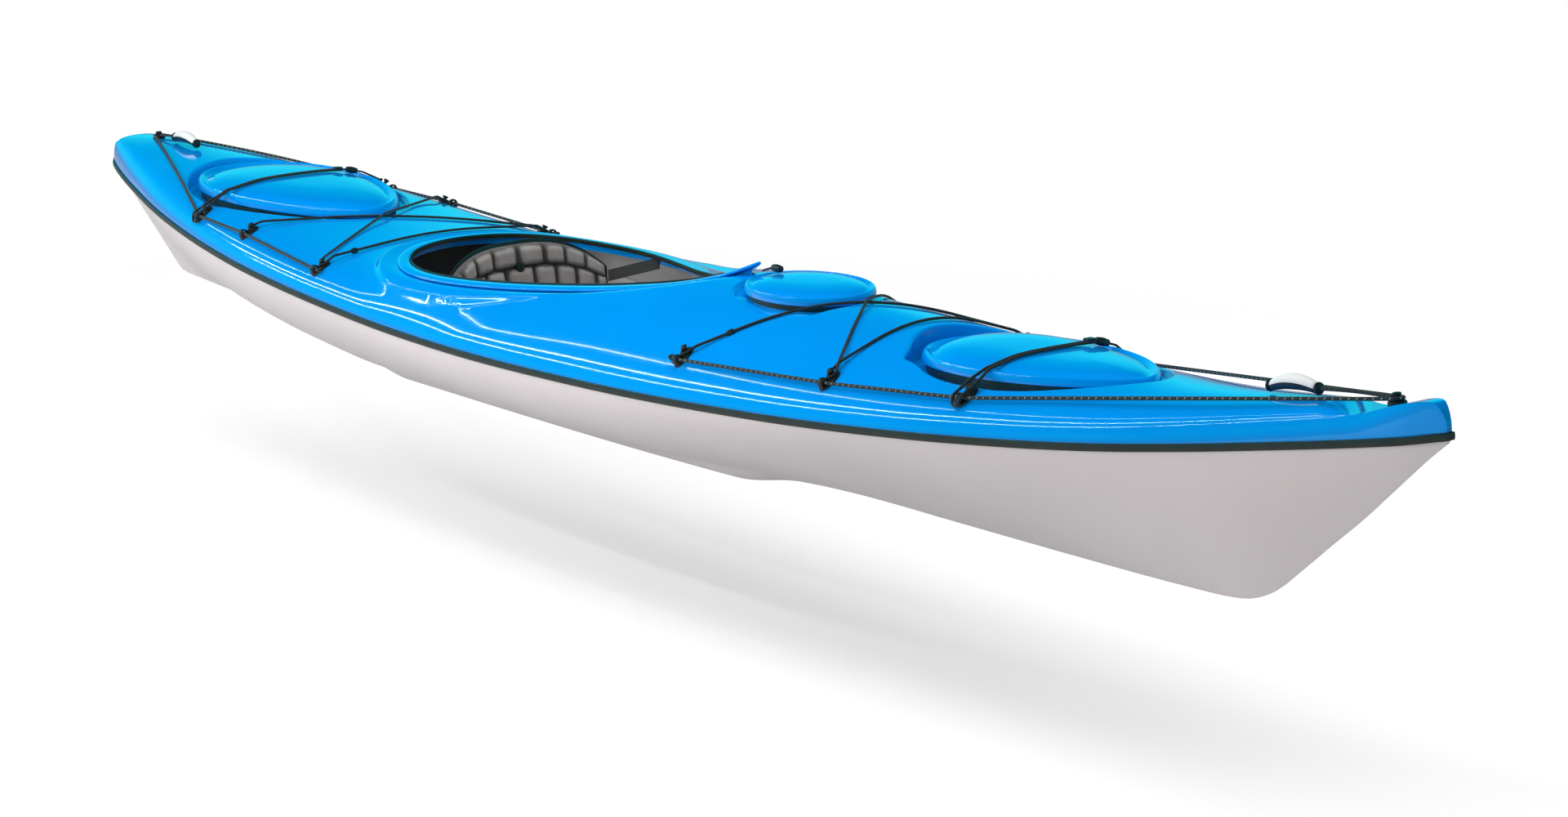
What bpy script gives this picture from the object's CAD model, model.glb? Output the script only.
"""Looks of a decked sea kayak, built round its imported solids.

Shapes are worked out in millimetres in the solids' own frame (+X bow, +Y port, +Z up) and become
metres when a mesh is made.
"""

import logging
import math
from dataclasses import dataclass, field
from enum import Enum
from typing import Callable, Sequence

import bmesh
import bpy
import numpy as np
from mathutils import Matrix, Vector
from mathutils.bvhtree import BVHTree
from mathutils.geometry import delaunay_2d_cdt


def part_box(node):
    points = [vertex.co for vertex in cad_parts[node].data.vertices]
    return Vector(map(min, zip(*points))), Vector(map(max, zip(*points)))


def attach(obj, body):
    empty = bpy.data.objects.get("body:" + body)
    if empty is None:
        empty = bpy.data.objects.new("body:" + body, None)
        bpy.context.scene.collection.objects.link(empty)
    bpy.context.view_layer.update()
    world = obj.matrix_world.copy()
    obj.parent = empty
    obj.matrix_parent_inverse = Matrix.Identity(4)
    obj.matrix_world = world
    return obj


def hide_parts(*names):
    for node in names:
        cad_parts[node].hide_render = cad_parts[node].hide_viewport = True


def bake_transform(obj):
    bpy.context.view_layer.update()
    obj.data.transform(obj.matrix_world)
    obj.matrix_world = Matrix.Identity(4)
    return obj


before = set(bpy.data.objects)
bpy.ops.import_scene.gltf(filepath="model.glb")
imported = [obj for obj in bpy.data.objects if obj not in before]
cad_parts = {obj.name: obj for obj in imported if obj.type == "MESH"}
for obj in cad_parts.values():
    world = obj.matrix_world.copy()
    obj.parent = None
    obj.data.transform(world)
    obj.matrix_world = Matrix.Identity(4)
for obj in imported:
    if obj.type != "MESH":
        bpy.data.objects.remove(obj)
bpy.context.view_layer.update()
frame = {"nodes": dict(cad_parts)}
LOG = logging.getLogger("kayak")
METRE = 0.001
ROOT_BODY = "boat"
Rows = Sequence[Sequence[float]]
Faces = list[Sequence[int]]
Array = np.ndarray
Ground = Callable[[Array, Array], Array]
Numbers = np.ndarray | float
Piece = bpy.types.Object
Finish = bpy.types.Material
Socket = bpy.types.NodeSocket
Colour = tuple[float, float, float]


class Slot(Enum):
    """The record's slots for the pieces that are built here."""

    HULL = "hull"
    DECK = "deck"
    RUBBER = "rubber"
    PLASTIC = "black_plastic"
    CORD = "cord"
    WEBBING = "webbing"
    FOAM = "foam"
    HANDLE = "handle"


# Shapes of the boat


class SmoothCurve:
    """A smooth curve through rows of place and value."""

    def __init__(self, rows: Rows) -> None:
        """Keeps the rows and works out a slope at each.

        Args:
            rows: Pairs of place and value, in rising order of place.
        """
        self.place, self.value = np.array(rows, float).T
        before = np.maximum(np.arange(len(rows)) - 1, 0)
        after = np.minimum(np.arange(len(rows)) + 1, len(rows) - 1)
        self.slope = (self.value[after] - self.value[before]) / (self.place[after] - self.place[before])

    def __call__(self, share: Numbers) -> Array:
        """Returns the values at the given places.

        Args:
            share: One place or an array of them.

        Returns:
            The curve's values there.
        """
        place = np.clip(share, self.place[0], self.place[-1])
        index = np.clip(np.searchsorted(self.place, place, side="left") - 1, 0, len(self.place) - 2)
        span = self.place[index + 1] - self.place[index]
        t = (place - self.place[index]) / span
        start, end = self.value[index], self.value[index + 1]
        pull = t * (1 - t) * span * ((1 - t) * self.slope[index] - t * self.slope[index + 1])
        return start + (end - start) * eased(t) + pull


HALF_BEAM = SmoothCurve([
    [0, 0.04], [0.0015, 0.1], [0.0042, 0.163], [0.0157, 0.233], [0.0388, 0.335], [0.0618, 0.425],
    [0.1208, 0.631], [0.1801, 0.787], [0.2278, 0.877], [0.2692, 0.93], [0.3407, 0.983], [0.4537, 1],
    [0.5182, 0.997], [0.5666, 0.973], [0.6127, 0.937], [0.6565, 0.897], [0.698, 0.857],
    [0.7349, 0.807], [0.7718, 0.748], [0.804, 0.678], [0.8363, 0.601], [0.8663, 0.512],
    [0.8917, 0.415], [0.9193, 0.316], [0.9446, 0.233], [0.97, 0.148], [0.9839, 0.1],
    [0.9954, 0.043], [1, 0.017],
])
SEAM_HEIGHT = SmoothCurve([
    [0, 0.879], [0.0157, 0.863], [0.0649, 0.814], [0.1208, 0.759], [0.1801, 0.703], [0.2692, 0.625],
    [0.3407, 0.576], [0.403, 0.538], [0.4629, 0.523], [0.5182, 0.526], [0.6127, 0.544],
    [0.698, 0.587], [0.7718, 0.645], [0.8363, 0.712], [0.8917, 0.788], [0.9446, 0.881],
    [0.9839, 0.959], [1, 1],
])
KEEL_HEIGHT = SmoothCurve([
    [0, 0.8], [0.0042, 0.706], [0.0157, 0.581], [0.0265, 0.459], [0.0404, 0.311], [0.0503, 0.218],
    [0.0565, 0.195], [0.0733, 0.18], [0.1102, 0.154], [0.177, 0.105], [0.2462, 0.052],
    [0.3041, 0.012], [0.3269, 0], [0.6, 0], [0.6577, 0.024], [0.7187, 0.026], [0.7764, 0.029],
    [0.8363, 0.035], [0.8732, 0.044], [0.8917, 0.055], [0.9032, 0.081], [0.9147, 0.145],
    [0.9263, 0.25], [0.9424, 0.404], [0.9588, 0.558], [0.9747, 0.721], [0.9903, 0.881], [1, 0.971],
])
EDGE_RISE = SmoothCurve([
    [0, 0.5], [0.0042, 0.85], [0.0157, 0.95], [0.041, 1.03], [0.0641, 1.06], [0.3499, 1.06],
    [0.4554, 1], [0.5462, 0.95], [0.6358, 0.89], [0.8548, 0.88], [0.9263, 0.85], [0.9608, 0.825],
    [0.9839, 0.8], [0.9954, 0.77], [1, 0.6],
])
CROWN = SmoothCurve([
    [0, 0.03], [0.0042, 0.04], [0.0157, 0.07], [0.041, 0.116], [0.0641, 0.144], [0.1208, 0.205],
    [0.1801, 0.257], [0.2369, 0.262], [0.2923, 0.236], [0.3499, 0.292], [0.396, 0.52],
    [0.4583, 0.78], [0.5459, 1], [0.6058, 0.993], [0.6358, 0.95], [0.678, 0.846], [0.7257, 0.681],
    [0.7902, 0.459], [0.8548, 0.233], [0.8824, 0.173], [0.9263, 0.117], [0.9608, 0.065],
    [0.9839, 0.038], [0.9954, 0.027], [1, 0.016],
])
WIDTH_POWER = SmoothCurve([
    [0, 1], [0.06, 1], [0.12, 1.17], [0.22, 1.38], [0.35, 1.45], [0.5, 1.55],
    [0.62, 1.25], [0.72, 1.05], [0.8, 1.08], [0.88, 1.05], [1, 1],
])
DEPTH_POWER = SmoothCurve([
    [0, 1], [0.06, 1.05], [0.12, 1.38], [0.22, 1.72], [0.35, 1.85], [0.5, 1.95],
    [0.62, 1.7], [0.72, 1.32], [0.8, 1.23], [0.88, 1.18], [1, 1.1],
])
STATIONS = [
    0, 0.0015, 0.0042, 0.009, 0.0157, 0.0265, 0.0404, 0.0503, 0.0565, 0.0733, 0.1102, 0.1428,
    0.1801, 0.2278, 0.2692, 0.3041, 0.3269, 0.3641, 0.403, 0.4537, 0.5182, 0.5666, 0.6, 0.6577,
    0.698, 0.7349, 0.7718, 0.804, 0.8363, 0.8663, 0.8917, 0.9032, 0.9147, 0.9263, 0.9424,
    0.9588, 0.9747, 0.9903, 1,
]


@dataclass(frozen=True)
class Lines:
    """The boat's lines: length, widths and heights of hull and deck."""

    length: float = 4270
    beam: float = 593
    sheer_height: float = 339
    edge_rise: float = 56.5
    crown: float = 113
    edge_power: float = 8
    crown_power: float = 1.3

    def place(self, share: float) -> float:
        """Returns the place along X at a share of the length from the stern."""
        return (share - 0.5) * self.length

    def share(self, x: Numbers) -> Numbers:
        """Returns the share of the length at a place along X."""
        return x / self.length + 0.5

    def half_beam(self, share: Numbers) -> Array:
        """Returns half the width at the seam."""
        return self.beam / 2 * HALF_BEAM(share)

    def seam(self, share: Numbers) -> Array:
        """Returns the seam's height."""
        return self.sheer_height * SEAM_HEIGHT(share)

    def keel(self, share: Numbers) -> Array:
        """Returns the keel's height."""
        return self.sheer_height * np.maximum(KEEL_HEIGHT(share), 0)

    def deck(self, x: Numbers, y: Numbers) -> Array:
        """Returns the height of the deck's outer face, without hatches and cockpit."""
        share = self.share(x)
        across = np.minimum(np.abs(y) / self.half_beam(share), 1)
        edge = np.sqrt(np.maximum(1 - across ** self.edge_power, 0))
        crown = (1 - across * across) ** self.crown_power
        rise = self.edge_rise * EDGE_RISE(share) * edge
        return self.seam(share) + rise + self.crown * CROWN(share) * crown

    def deck_frame(self, x: float, y: float, step: float = 13) -> Matrix:
        """Returns a frame on the deck, with Z along its normal and Y outboard.

        Args:
            x: Place along the boat.
            y: Place across the boat.
            step: Reach over which the slopes are measured.

        Returns:
            The frame as a 4 by 4 matrix in millimetres.
        """
        slope_x = (self.deck(x + step, y) - self.deck(x - step, y)) / (2 * step)
        slope_y = (self.deck(x, y + step) - self.deck(x, y - step)) / (2 * step)
        normal = Vector((-slope_x, -slope_y, 1)).normalized()
        heading = Vector((-1 if y < 0 else 1, 0, 0))
        outboard = normal.cross(heading).normalized()
        forward = outboard.cross(normal)
        basis = Matrix((forward, outboard, normal)).transposed().to_4x4()
        basis.translation = Vector((x, y, float(self.deck(x, y))))
        return basis


LINES = Lines()


def finer(places: Sequence[float], most: float) -> Array:
    """Returns places with steps no longer than a limit added between them.

    Args:
        places: Rising places.
        most: The longest step.

    Returns:
        The filled-in places.
    """
    parts = []
    for low, high in zip(places, places[1:]):
        parts.append(np.linspace(low, high, max(math.ceil((high - low) / most), 1), endpoint=False))
    return np.concatenate([*parts, [places[-1]]])


def offset_loop(loop: Array, distance: float) -> Array:
    """Returns a closed outline moved outwards, or inwards by a negative distance.

    Args:
        loop: Corners in anticlockwise order, as rows of x and y.
        distance: How far the outline moves.

    Returns:
        The moved corners.
    """
    before, after = np.roll(loop, 1, axis=0), np.roll(loop, -1, axis=0)

    def outward(step: Array) -> Array:
        """Returns the outward normals of steps along the outline."""
        turned = np.stack([step[:, 1], -step[:, 0]], 1)
        return turned / np.linalg.norm(turned, axis=1, keepdims=True)

    first, second = outward(loop - before), outward(after - loop)
    normal = first + second
    normal /= np.linalg.norm(normal, axis=1, keepdims=True)
    reach = distance / np.maximum((normal * first).sum(1), 0.5)
    return loop + normal * reach[:, None]


def rounded_loop(loop: Array, steps: int) -> Array:
    """Returns a closed smooth curve through an outline's corners.

    Args:
        loop: The corners.
        steps: Points for each side.

    Returns:
        The denser outline, whose first point is the first corner.
    """
    t = (np.arange(steps) / steps)[None, :, None]
    a, b = np.roll(loop, 1, axis=0)[:, None], loop[:, None]
    c, d = np.roll(loop, -1, axis=0)[:, None], np.roll(loop, -2, axis=0)[:, None]
    curve = 0.5 * (2 * b + (c - a) * t + (2 * a - 5 * b + 4 * c - d) * t**2 + (3 * b - a - 3 * c + d) * t**3)
    return curve.reshape(-1, loop.shape[1])


def inside(points: Array, loop: Array) -> Array:
    """Returns which points lie inside a closed outline."""
    x, y = points[:, :1], points[:, 1:2]
    x0, y0 = loop.T
    x1, y1 = np.roll(loop, -1, axis=0).T
    crosses = (y0 > y) != (y1 > y)
    at = (x1 - x0) * (y - y0) / np.where(y1 == y0, 1e-9, y1 - y0) + x0
    return (crosses & (x < at)).sum(1) % 2 == 1


def full_turn(count: int, shift: float = 0) -> Array:
    """Returns even angles round a full turn, from a share of their spacing."""
    return (np.arange(count) + shift) / count * 2 * math.pi


def squared_oval(half_length: float, half_width: float, power: float, angle: Array) -> Array:
    """Returns plan points round an oval at power 1, and squarer ones at a lower power."""
    along, across = np.cos(angle), np.sin(angle)
    return np.stack([half_length * np.sign(along) * np.abs(along) ** power,
                     half_width * np.sign(across) * np.abs(across) ** power], 1)


def at_height(plan: Array, height: Numbers) -> Array:
    """Returns plan points with a height for all or for each."""
    return np.column_stack([plan, np.broadcast_to(height, len(plan))])


def laid_on(plan: Array, surface: Ground) -> Array:
    """Returns plan points at a surface's height."""
    return at_height(plan, surface(plan[:, 0], plan[:, 1]))


def eased(share: Numbers) -> Numbers:
    """Returns shares that start and end softly."""
    return share * share * (3 - 2 * share)


def barrel(half: Rows) -> list[Sequence[float]]:
    """Returns a turned profile from its upper half, which runs from the end to the middle."""
    return [(r, -z) for r, z in half] + [*half[:-1][::-1]]


# Meshes


def shade(mesh: bpy.types.Mesh, sharp: float) -> None:
    """Shades a mesh smooth, and leaves edges crisp that bend by more degrees than the limit."""
    mesh.shade_smooth()
    mesh.set_sharp_from_angle(angle=math.radians(sharp))


def in_scene(name: str, data: bpy.types.ID) -> Piece:
    """Returns a new object of the scene."""
    item = bpy.data.objects.new(name, data)
    bpy.context.scene.collection.objects.link(item)
    return item


def make_piece(name: str, points: Array, faces: Faces, material: Finish, sharp: float = 40) -> Piece:
    """Makes a smooth-shaded mesh object from points in millimetres.

    Args:
        name: The piece's name.
        points: Rows of x, y and z.
        faces: Corner numbers of each face.
        material: Its finish.
        sharp: Bend in degrees past which an edge stays crisp.

    Returns:
        The new object.
    """
    mesh = bpy.data.meshes.new(name)
    mesh.from_pydata((np.asarray(points, float) * METRE).tolist(), [], [list(map(int, f)) for f in faces])
    mesh.validate()
    mesh.materials.append(material)
    shade(mesh, sharp)
    return in_scene(name, mesh)


def strip_faces(above: Sequence[int], below: Sequence[int], wrap: bool = False) -> Faces:
    """Returns the quads between two rows of corner numbers, which may close on themselves."""
    pairs = list(zip(above, below))
    beside = pairs[1:] + pairs[:1] if wrap else pairs[1:]
    return [(a, c, d, b) for (a, b), (c, d) in zip(pairs, beside)]


def grid_faces(rows: int, columns: int, wrap_columns: bool = False, wrap_rows: bool = False) -> Faces:
    """Returns the quads of a grid of points.

    Args:
        rows: Number of rows.
        columns: Points in each row.
        wrap_columns: Whether each row closes on itself.
        wrap_rows: Whether the last row joins the first.

    Returns:
        The quads, as corner numbers.
    """
    faces = []
    for row in range(rows if wrap_rows else rows - 1):
        here, below = row * columns, (row + 1) % rows * columns
        faces += strip_faces(range(here, here + columns), range(below, below + columns), wrap_columns)
    return faces


def ring_skin(name: str, rings: Array, material: Finish, closed: bool = False, sharp: float = 40) -> Piece:
    """Joins rings of equal count into a closed skin.

    Args:
        name: The piece's name.
        rings: Array of rings, points and coordinates.
        material: Its finish.
        closed: Whether the last ring joins the first. Otherwise both ends are capped.
        sharp: Bend in degrees past which an edge stays crisp.

    Returns:
        The new object, with its faces turned outwards.
    """
    shape = Shape()
    shape.add_rings(rings, closed=closed)
    return shape.piece(name, material, sharp)


def slab(name: str, front: Array, behind: Array, material: Finish, sharp: float) -> Piece:
    """Joins two grids of points into a closed slab.

    Args:
        name: The piece's name.
        front: One face's points, as rows, columns and coordinates.
        behind: The other face's points in the same order.
        material: Its finish.
        sharp: Bend in degrees past which an edge stays crisp.

    Returns:
        The new object, with its faces turned outwards.
    """
    rows, columns, _ = front.shape
    count = rows * columns
    faces = grid_faces(rows, columns)
    faces += [tuple(corner + count for corner in face[::-1]) for face in faces]
    numbers = np.arange(count).reshape(rows, columns)
    rim = [*numbers[0, :-1], *numbers[:-1, -1], *numbers[-1, :0:-1], *numbers[:0:-1, 0]]
    faces += [(b, a, a + count, b + count) for a, b in zip(rim, [*rim[1:], rim[0]])]
    piece = make_piece(name, np.stack([front, behind]).reshape(-1, 3), faces, material, sharp)
    face_outwards(piece, sharp)
    return piece


def face_outwards(piece: Piece, sharp: float) -> None:
    """Turns a closed mesh's faces outwards.

    Args:
        piece: The object whose mesh is turned.
        sharp: Bend in degrees past which an edge stays crisp.
    """
    work = bmesh.new()
    work.from_mesh(piece.data)
    bmesh.ops.recalc_face_normals(work, faces=work.faces)
    work.to_mesh(piece.data)
    work.free()
    shade(piece.data, sharp)


def apply_modifiers(piece: Piece) -> None:
    """Turns a piece's modifiers into plain mesh."""
    graph = bpy.context.evaluated_depsgraph_get()
    graph.update()
    plain = bpy.data.meshes.new_from_object(piece.evaluated_get(graph))
    piece.modifiers.clear()
    piece.data = plain


def hand_in(piece: Piece, body: str, nodes: Sequence[str] = ()) -> Piece:
    """Puts a finished piece on its body and says which solids it stands for.

    Args:
        piece: The finished piece.
        body: The body that it rides on.
        nodes: The solids that it replaces.

    Returns:
        The piece.
    """
    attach(piece, body)
    if nodes:
        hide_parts(*nodes)
    count = sum(len(polygon.vertices) - 2 for polygon in piece.data.polygons)
    LOG.info("%s rides on %s, %d triangles", piece.name, body, count)
    return piece


# Finishes


class Nodes:
    """Short hand for filling a tree with nodes."""

    def __init__(self, tree: bpy.types.NodeTree) -> None:
        """Keeps the tree."""
        self.tree = tree

    def link(self, source: object, target: Socket) -> None:
        """Links a source to an input, or sets the input where the source is a plain value."""
        if isinstance(source, Socket):
            self.tree.links.new(source, target)
        else:
            target.default_value = source

    def add(self, kind: str, **values: object) -> bpy.types.Node:
        """Adds a node and sets it up.

        Args:
            kind: The node's type name.
            **values: Properties, and sources or values of inputs, by name with spaces as _.

        Returns:
            The node.
        """
        node = self.tree.nodes.new(kind)
        for key, value in values.items():
            target = next((i for i in node.inputs if i.name == key.replace("_", " ")), None)
            if target is None:
                setattr(node, key, value)
            else:
                self.link(value, target)
        return node

    def fill(self, kind: str, *sources: object, **properties: object) -> Socket:
        """Adds a node, fills its inputs in order and returns its first output."""
        node = self.add(kind, **properties)
        for source, target in zip(sources, node.inputs):
            self.link(source, target)
        return node.outputs[0]

    def math(self, operation: str, *sources: object) -> Socket:
        """Returns the result of a Math node."""
        return self.fill("ShaderNodeMath", *sources, operation=operation)

    def place(self, scale: Sequence[float] = (1, 1, 1)) -> Socket:
        """Returns scaled Object coordinates."""
        source = self.add("ShaderNodeTexCoord").outputs["Object"]
        return self.add("ShaderNodeMapping", Scale=scale, Vector=source).outputs[0]

    def noise(self, scale: float, detail: float = 2, stretch: Sequence[float] = (1, 1, 1)) -> Socket:
        """Returns noise on Object coordinates, by waves per metre, octaves and scale along each axis."""
        node = self.add("ShaderNodeTexNoise", Scale=scale, Detail=detail, Vector=self.place(stretch))
        return node.outputs[0]

    def ramp(self, value: Socket, stops: Sequence[tuple[float, Sequence[float]]]) -> Socket:
        """Returns the colours that a value gets between stops of place and colour."""
        node = self.add("ShaderNodeValToRGB", Fac=value)
        elements = node.color_ramp.elements
        while len(elements) < len(stops):
            elements.new(0.5)
        for element, (place, colour) in zip(elements, stops):
            element.position = place
            element.color = (*colour, 1)
        return node.outputs["Color"]


class Sketch(Nodes):
    """A material's nodes round a Principled shader."""

    def __init__(self, name: str, **values: object) -> None:
        """Starts the material.

        Args:
            name: The material's name.
            **values: Values of the shader's inputs, by name with spaces as _.
        """
        self.material = bpy.data.materials.new(name)
        self.material.use_nodes = True
        super().__init__(self.material.node_tree)
        self.shader = self.tree.nodes["Principled BSDF"]
        for key, value in values.items():
            self.shine(key.replace("_", " "), value)

    def shine(self, label: str, source: object) -> None:
        """Gives one of the shader's inputs a source or a value."""
        self.link(source, self.shader.inputs[label])

    def bump(self, height: Socket, strength: float, distance: float) -> None:
        """Puts a bump on the shader, with its height in metres."""
        node = self.add("ShaderNodeBump", Strength=strength, Distance=distance, Height=height)
        self.shine("Normal", node.outputs["Normal"])


@dataclass(frozen=True)
class Moulding:
    """Sheet or moulded plastic and rubber, with slight mottling, ripple and gloss."""

    name: str
    colour: Colour
    roughness: float
    mottle: float = 0.04
    mottle_scale: float = 6
    ripple_scale: float = 14
    ripple: float = 0.0004
    grain_scale: float = 0
    grain: float = 0.00003
    coat: float = 0
    scuff: float = 0.06
    tint: Colour = (1, 1, 1)

    def build(self) -> Finish:
        """Returns the finish as a material."""
        sketch = Sketch(self.name, Coat_Weight=self.coat, Coat_Roughness=0.03, Specular_Tint=(*self.tint, 1))
        low = tuple(c * (1 - self.mottle) for c in self.colour)
        high = tuple(min(c * (1 + self.mottle), 1) for c in self.colour)
        cloud = sketch.noise(self.mottle_scale, 3)
        sketch.shine("Base Color", sketch.ramp(cloud, [(0.35, low), (0.65, high)]))
        wear = sketch.noise(90, 4, (0.12, 1, 1))
        rough = sketch.math("MULTIPLY_ADD", wear, self.scuff, self.roughness - self.scuff / 2)
        sketch.shine("Roughness", rough)
        if self.grain_scale:
            sketch.bump(sketch.noise(self.grain_scale, 2), 0.6, self.grain)
        else:
            sketch.bump(sketch.noise(self.ripple_scale, 1), 0.35, self.ripple)
        return sketch.material


@dataclass(frozen=True)
class Braid:
    """Braided cord with light flecks that wind round it, on the sweep's own coordinates."""

    name: str
    colour: Colour
    fleck: Colour
    fleck_share: float
    turn: float = 0.028

    def build(self) -> Finish:
        """Returns the finish as a material."""
        sketch = Sketch(self.name, Roughness=0.72, Sheen_Weight=0.15)
        source = sketch.add("ShaderNodeAttribute", attribute_name="sweep")
        x, y, length = sketch.add("ShaderNodeSeparateXYZ", Vector=source.outputs["Vector"]).outputs
        around = sketch.math("DIVIDE", sketch.math("ARCTAN2", y, x), 2 * math.pi)
        along = sketch.math("DIVIDE", length, self.turn)
        strands = [sketch.math(operation, along, around) for operation in ("ADD", "SUBTRACT")]
        near, beside = (sketch.math("LESS_THAN", sketch.math("FRACT", strand), share)
                        for strand, share in zip(strands, (self.fleck_share, 0.3)))
        fleck = sketch.math("MULTIPLY", near, beside)
        sketch.shine("Base Color", sketch.ramp(fleck, [(0, self.colour), (1, self.fleck)]))
        waves = [sketch.math("SINE", sketch.math("MULTIPLY", strand, 10 * math.pi)) for strand in strands]
        sketch.bump(sketch.math("MULTIPLY", *waves), 0.8, 0.0004)
        return sketch.material


@dataclass(frozen=True)
class Cloth:
    """Foam faced with thin cloth, or a woven band."""

    name: str
    colour: Colour
    weave: float
    depth: float
    roughness: float = 0.9
    sheen: float = 0.3

    def build(self) -> Finish:
        """Returns the finish as a material."""
        sketch = Sketch(self.name, Roughness=self.roughness, Sheen_Weight=self.sheen, Sheen_Roughness=0.5)
        groove = sketch.add("ShaderNodeAttribute", attribute_name="groove").outputs["Fac"]
        cloud = sketch.math("SUBTRACT", sketch.noise(25, 4), sketch.math("MULTIPLY", groove, 0.9))
        stops = [(place, tuple(min(c * depth, 1) for c in self.colour))
                 for place, depth in ((0.0, 0.22), (0.3, 0.86), (0.7, 1.12))]
        sketch.shine("Base Color", sketch.ramp(cloud, stops))
        split = sketch.add("ShaderNodeSeparateXYZ", Vector=sketch.place((self.weave,) * 3))
        x, y, z = (sketch.math("SINE", axis) for axis in split.outputs)
        cross = sketch.math("ADD", sketch.math("MULTIPLY", y, z), sketch.math("MULTIPLY", x, y))
        sketch.bump(sketch.math("ADD", cross, sketch.noise(400, 2)), 0.5, self.depth)
        return sketch.material


@dataclass(frozen=True)
class Brushed:
    """Brushed metal."""

    name: str
    colour: Colour

    def build(self) -> Finish:
        """Returns the finish as a material."""
        sketch = Sketch(self.name, Metallic=1.0)
        grain = sketch.noise(700, 2, (1, 1, 0.05))
        stops = [(0.3, tuple(c * 0.9 for c in self.colour)), (0.7, self.colour)]
        sketch.shine("Base Color", sketch.ramp(grain, stops))
        sketch.shine("Roughness", sketch.math("MULTIPLY_ADD", grain, 0.15, 0.22))
        sketch.bump(grain, 0.2, 0.00003)
        return sketch.material


class Finishes:
    """Every finish of the boat, built once."""

    def __init__(self) -> None:
        """Builds the materials."""
        self.deck = Moulding("azure_gloss", (0.0, 0.275, 0.81), 0.1, 0.03, 3, 9, 0.0005, coat=0.5,
                             scuff=0.04, tint=(0.1, 0.9, 1.0)).build()
        self.hull = Moulding("pale_grey_hull", (0.74, 0.70, 0.71), 0.34, 0.03, 4, 9, 0.0005, scuff=0.1,
                             tint=(1.0, 0.6, 0.6)).build()
        self.lining = Moulding("grey_lining", (0.56, 0.565, 0.56), 0.55, 0.03, 12, grain_scale=500).build()
        self.rubber = Moulding("dark_rubber", (0.006, 0.015, 0.013), 0.42, 0.2, 30, grain_scale=900).build()
        self.plastic = Moulding("black_moulding", (0.009, 0.011, 0.012), 0.38, 0.15, 40, grain_scale=1400,
                                scuff=0.16).build()
        self.inner = Moulding("inner_black", (0.012, 0.013, 0.014), 0.6, 0.1, 40, grain_scale=600).build()
        self.line = Braid("perimeter_braid", (0.006, 0.014, 0.013), (0.3, 0.42, 0.4), 0.13, 0.014).build()
        self.shock = Braid("shock_braid", (0.006, 0.013, 0.012), (0.02, 0.035, 0.033), 0.3, 0.012).build()
        self.foam = Cloth("grey_foam", (0.30, 0.285, 0.275), 3600, 0.0002).build()
        self.webbing = Cloth("black_webbing", (0.012, 0.013, 0.014), 2600, 0.0003, 0.7).build()
        self.handle = Moulding("white_moulding", (0.78, 0.78, 0.78), 0.3, 0.02, 20, grain_scale=500).build()
        self.bolt = Brushed("brushed_bolt", (0.56, 0.56, 0.57)).build()


# Hatches and cockpit, as outlines


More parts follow.
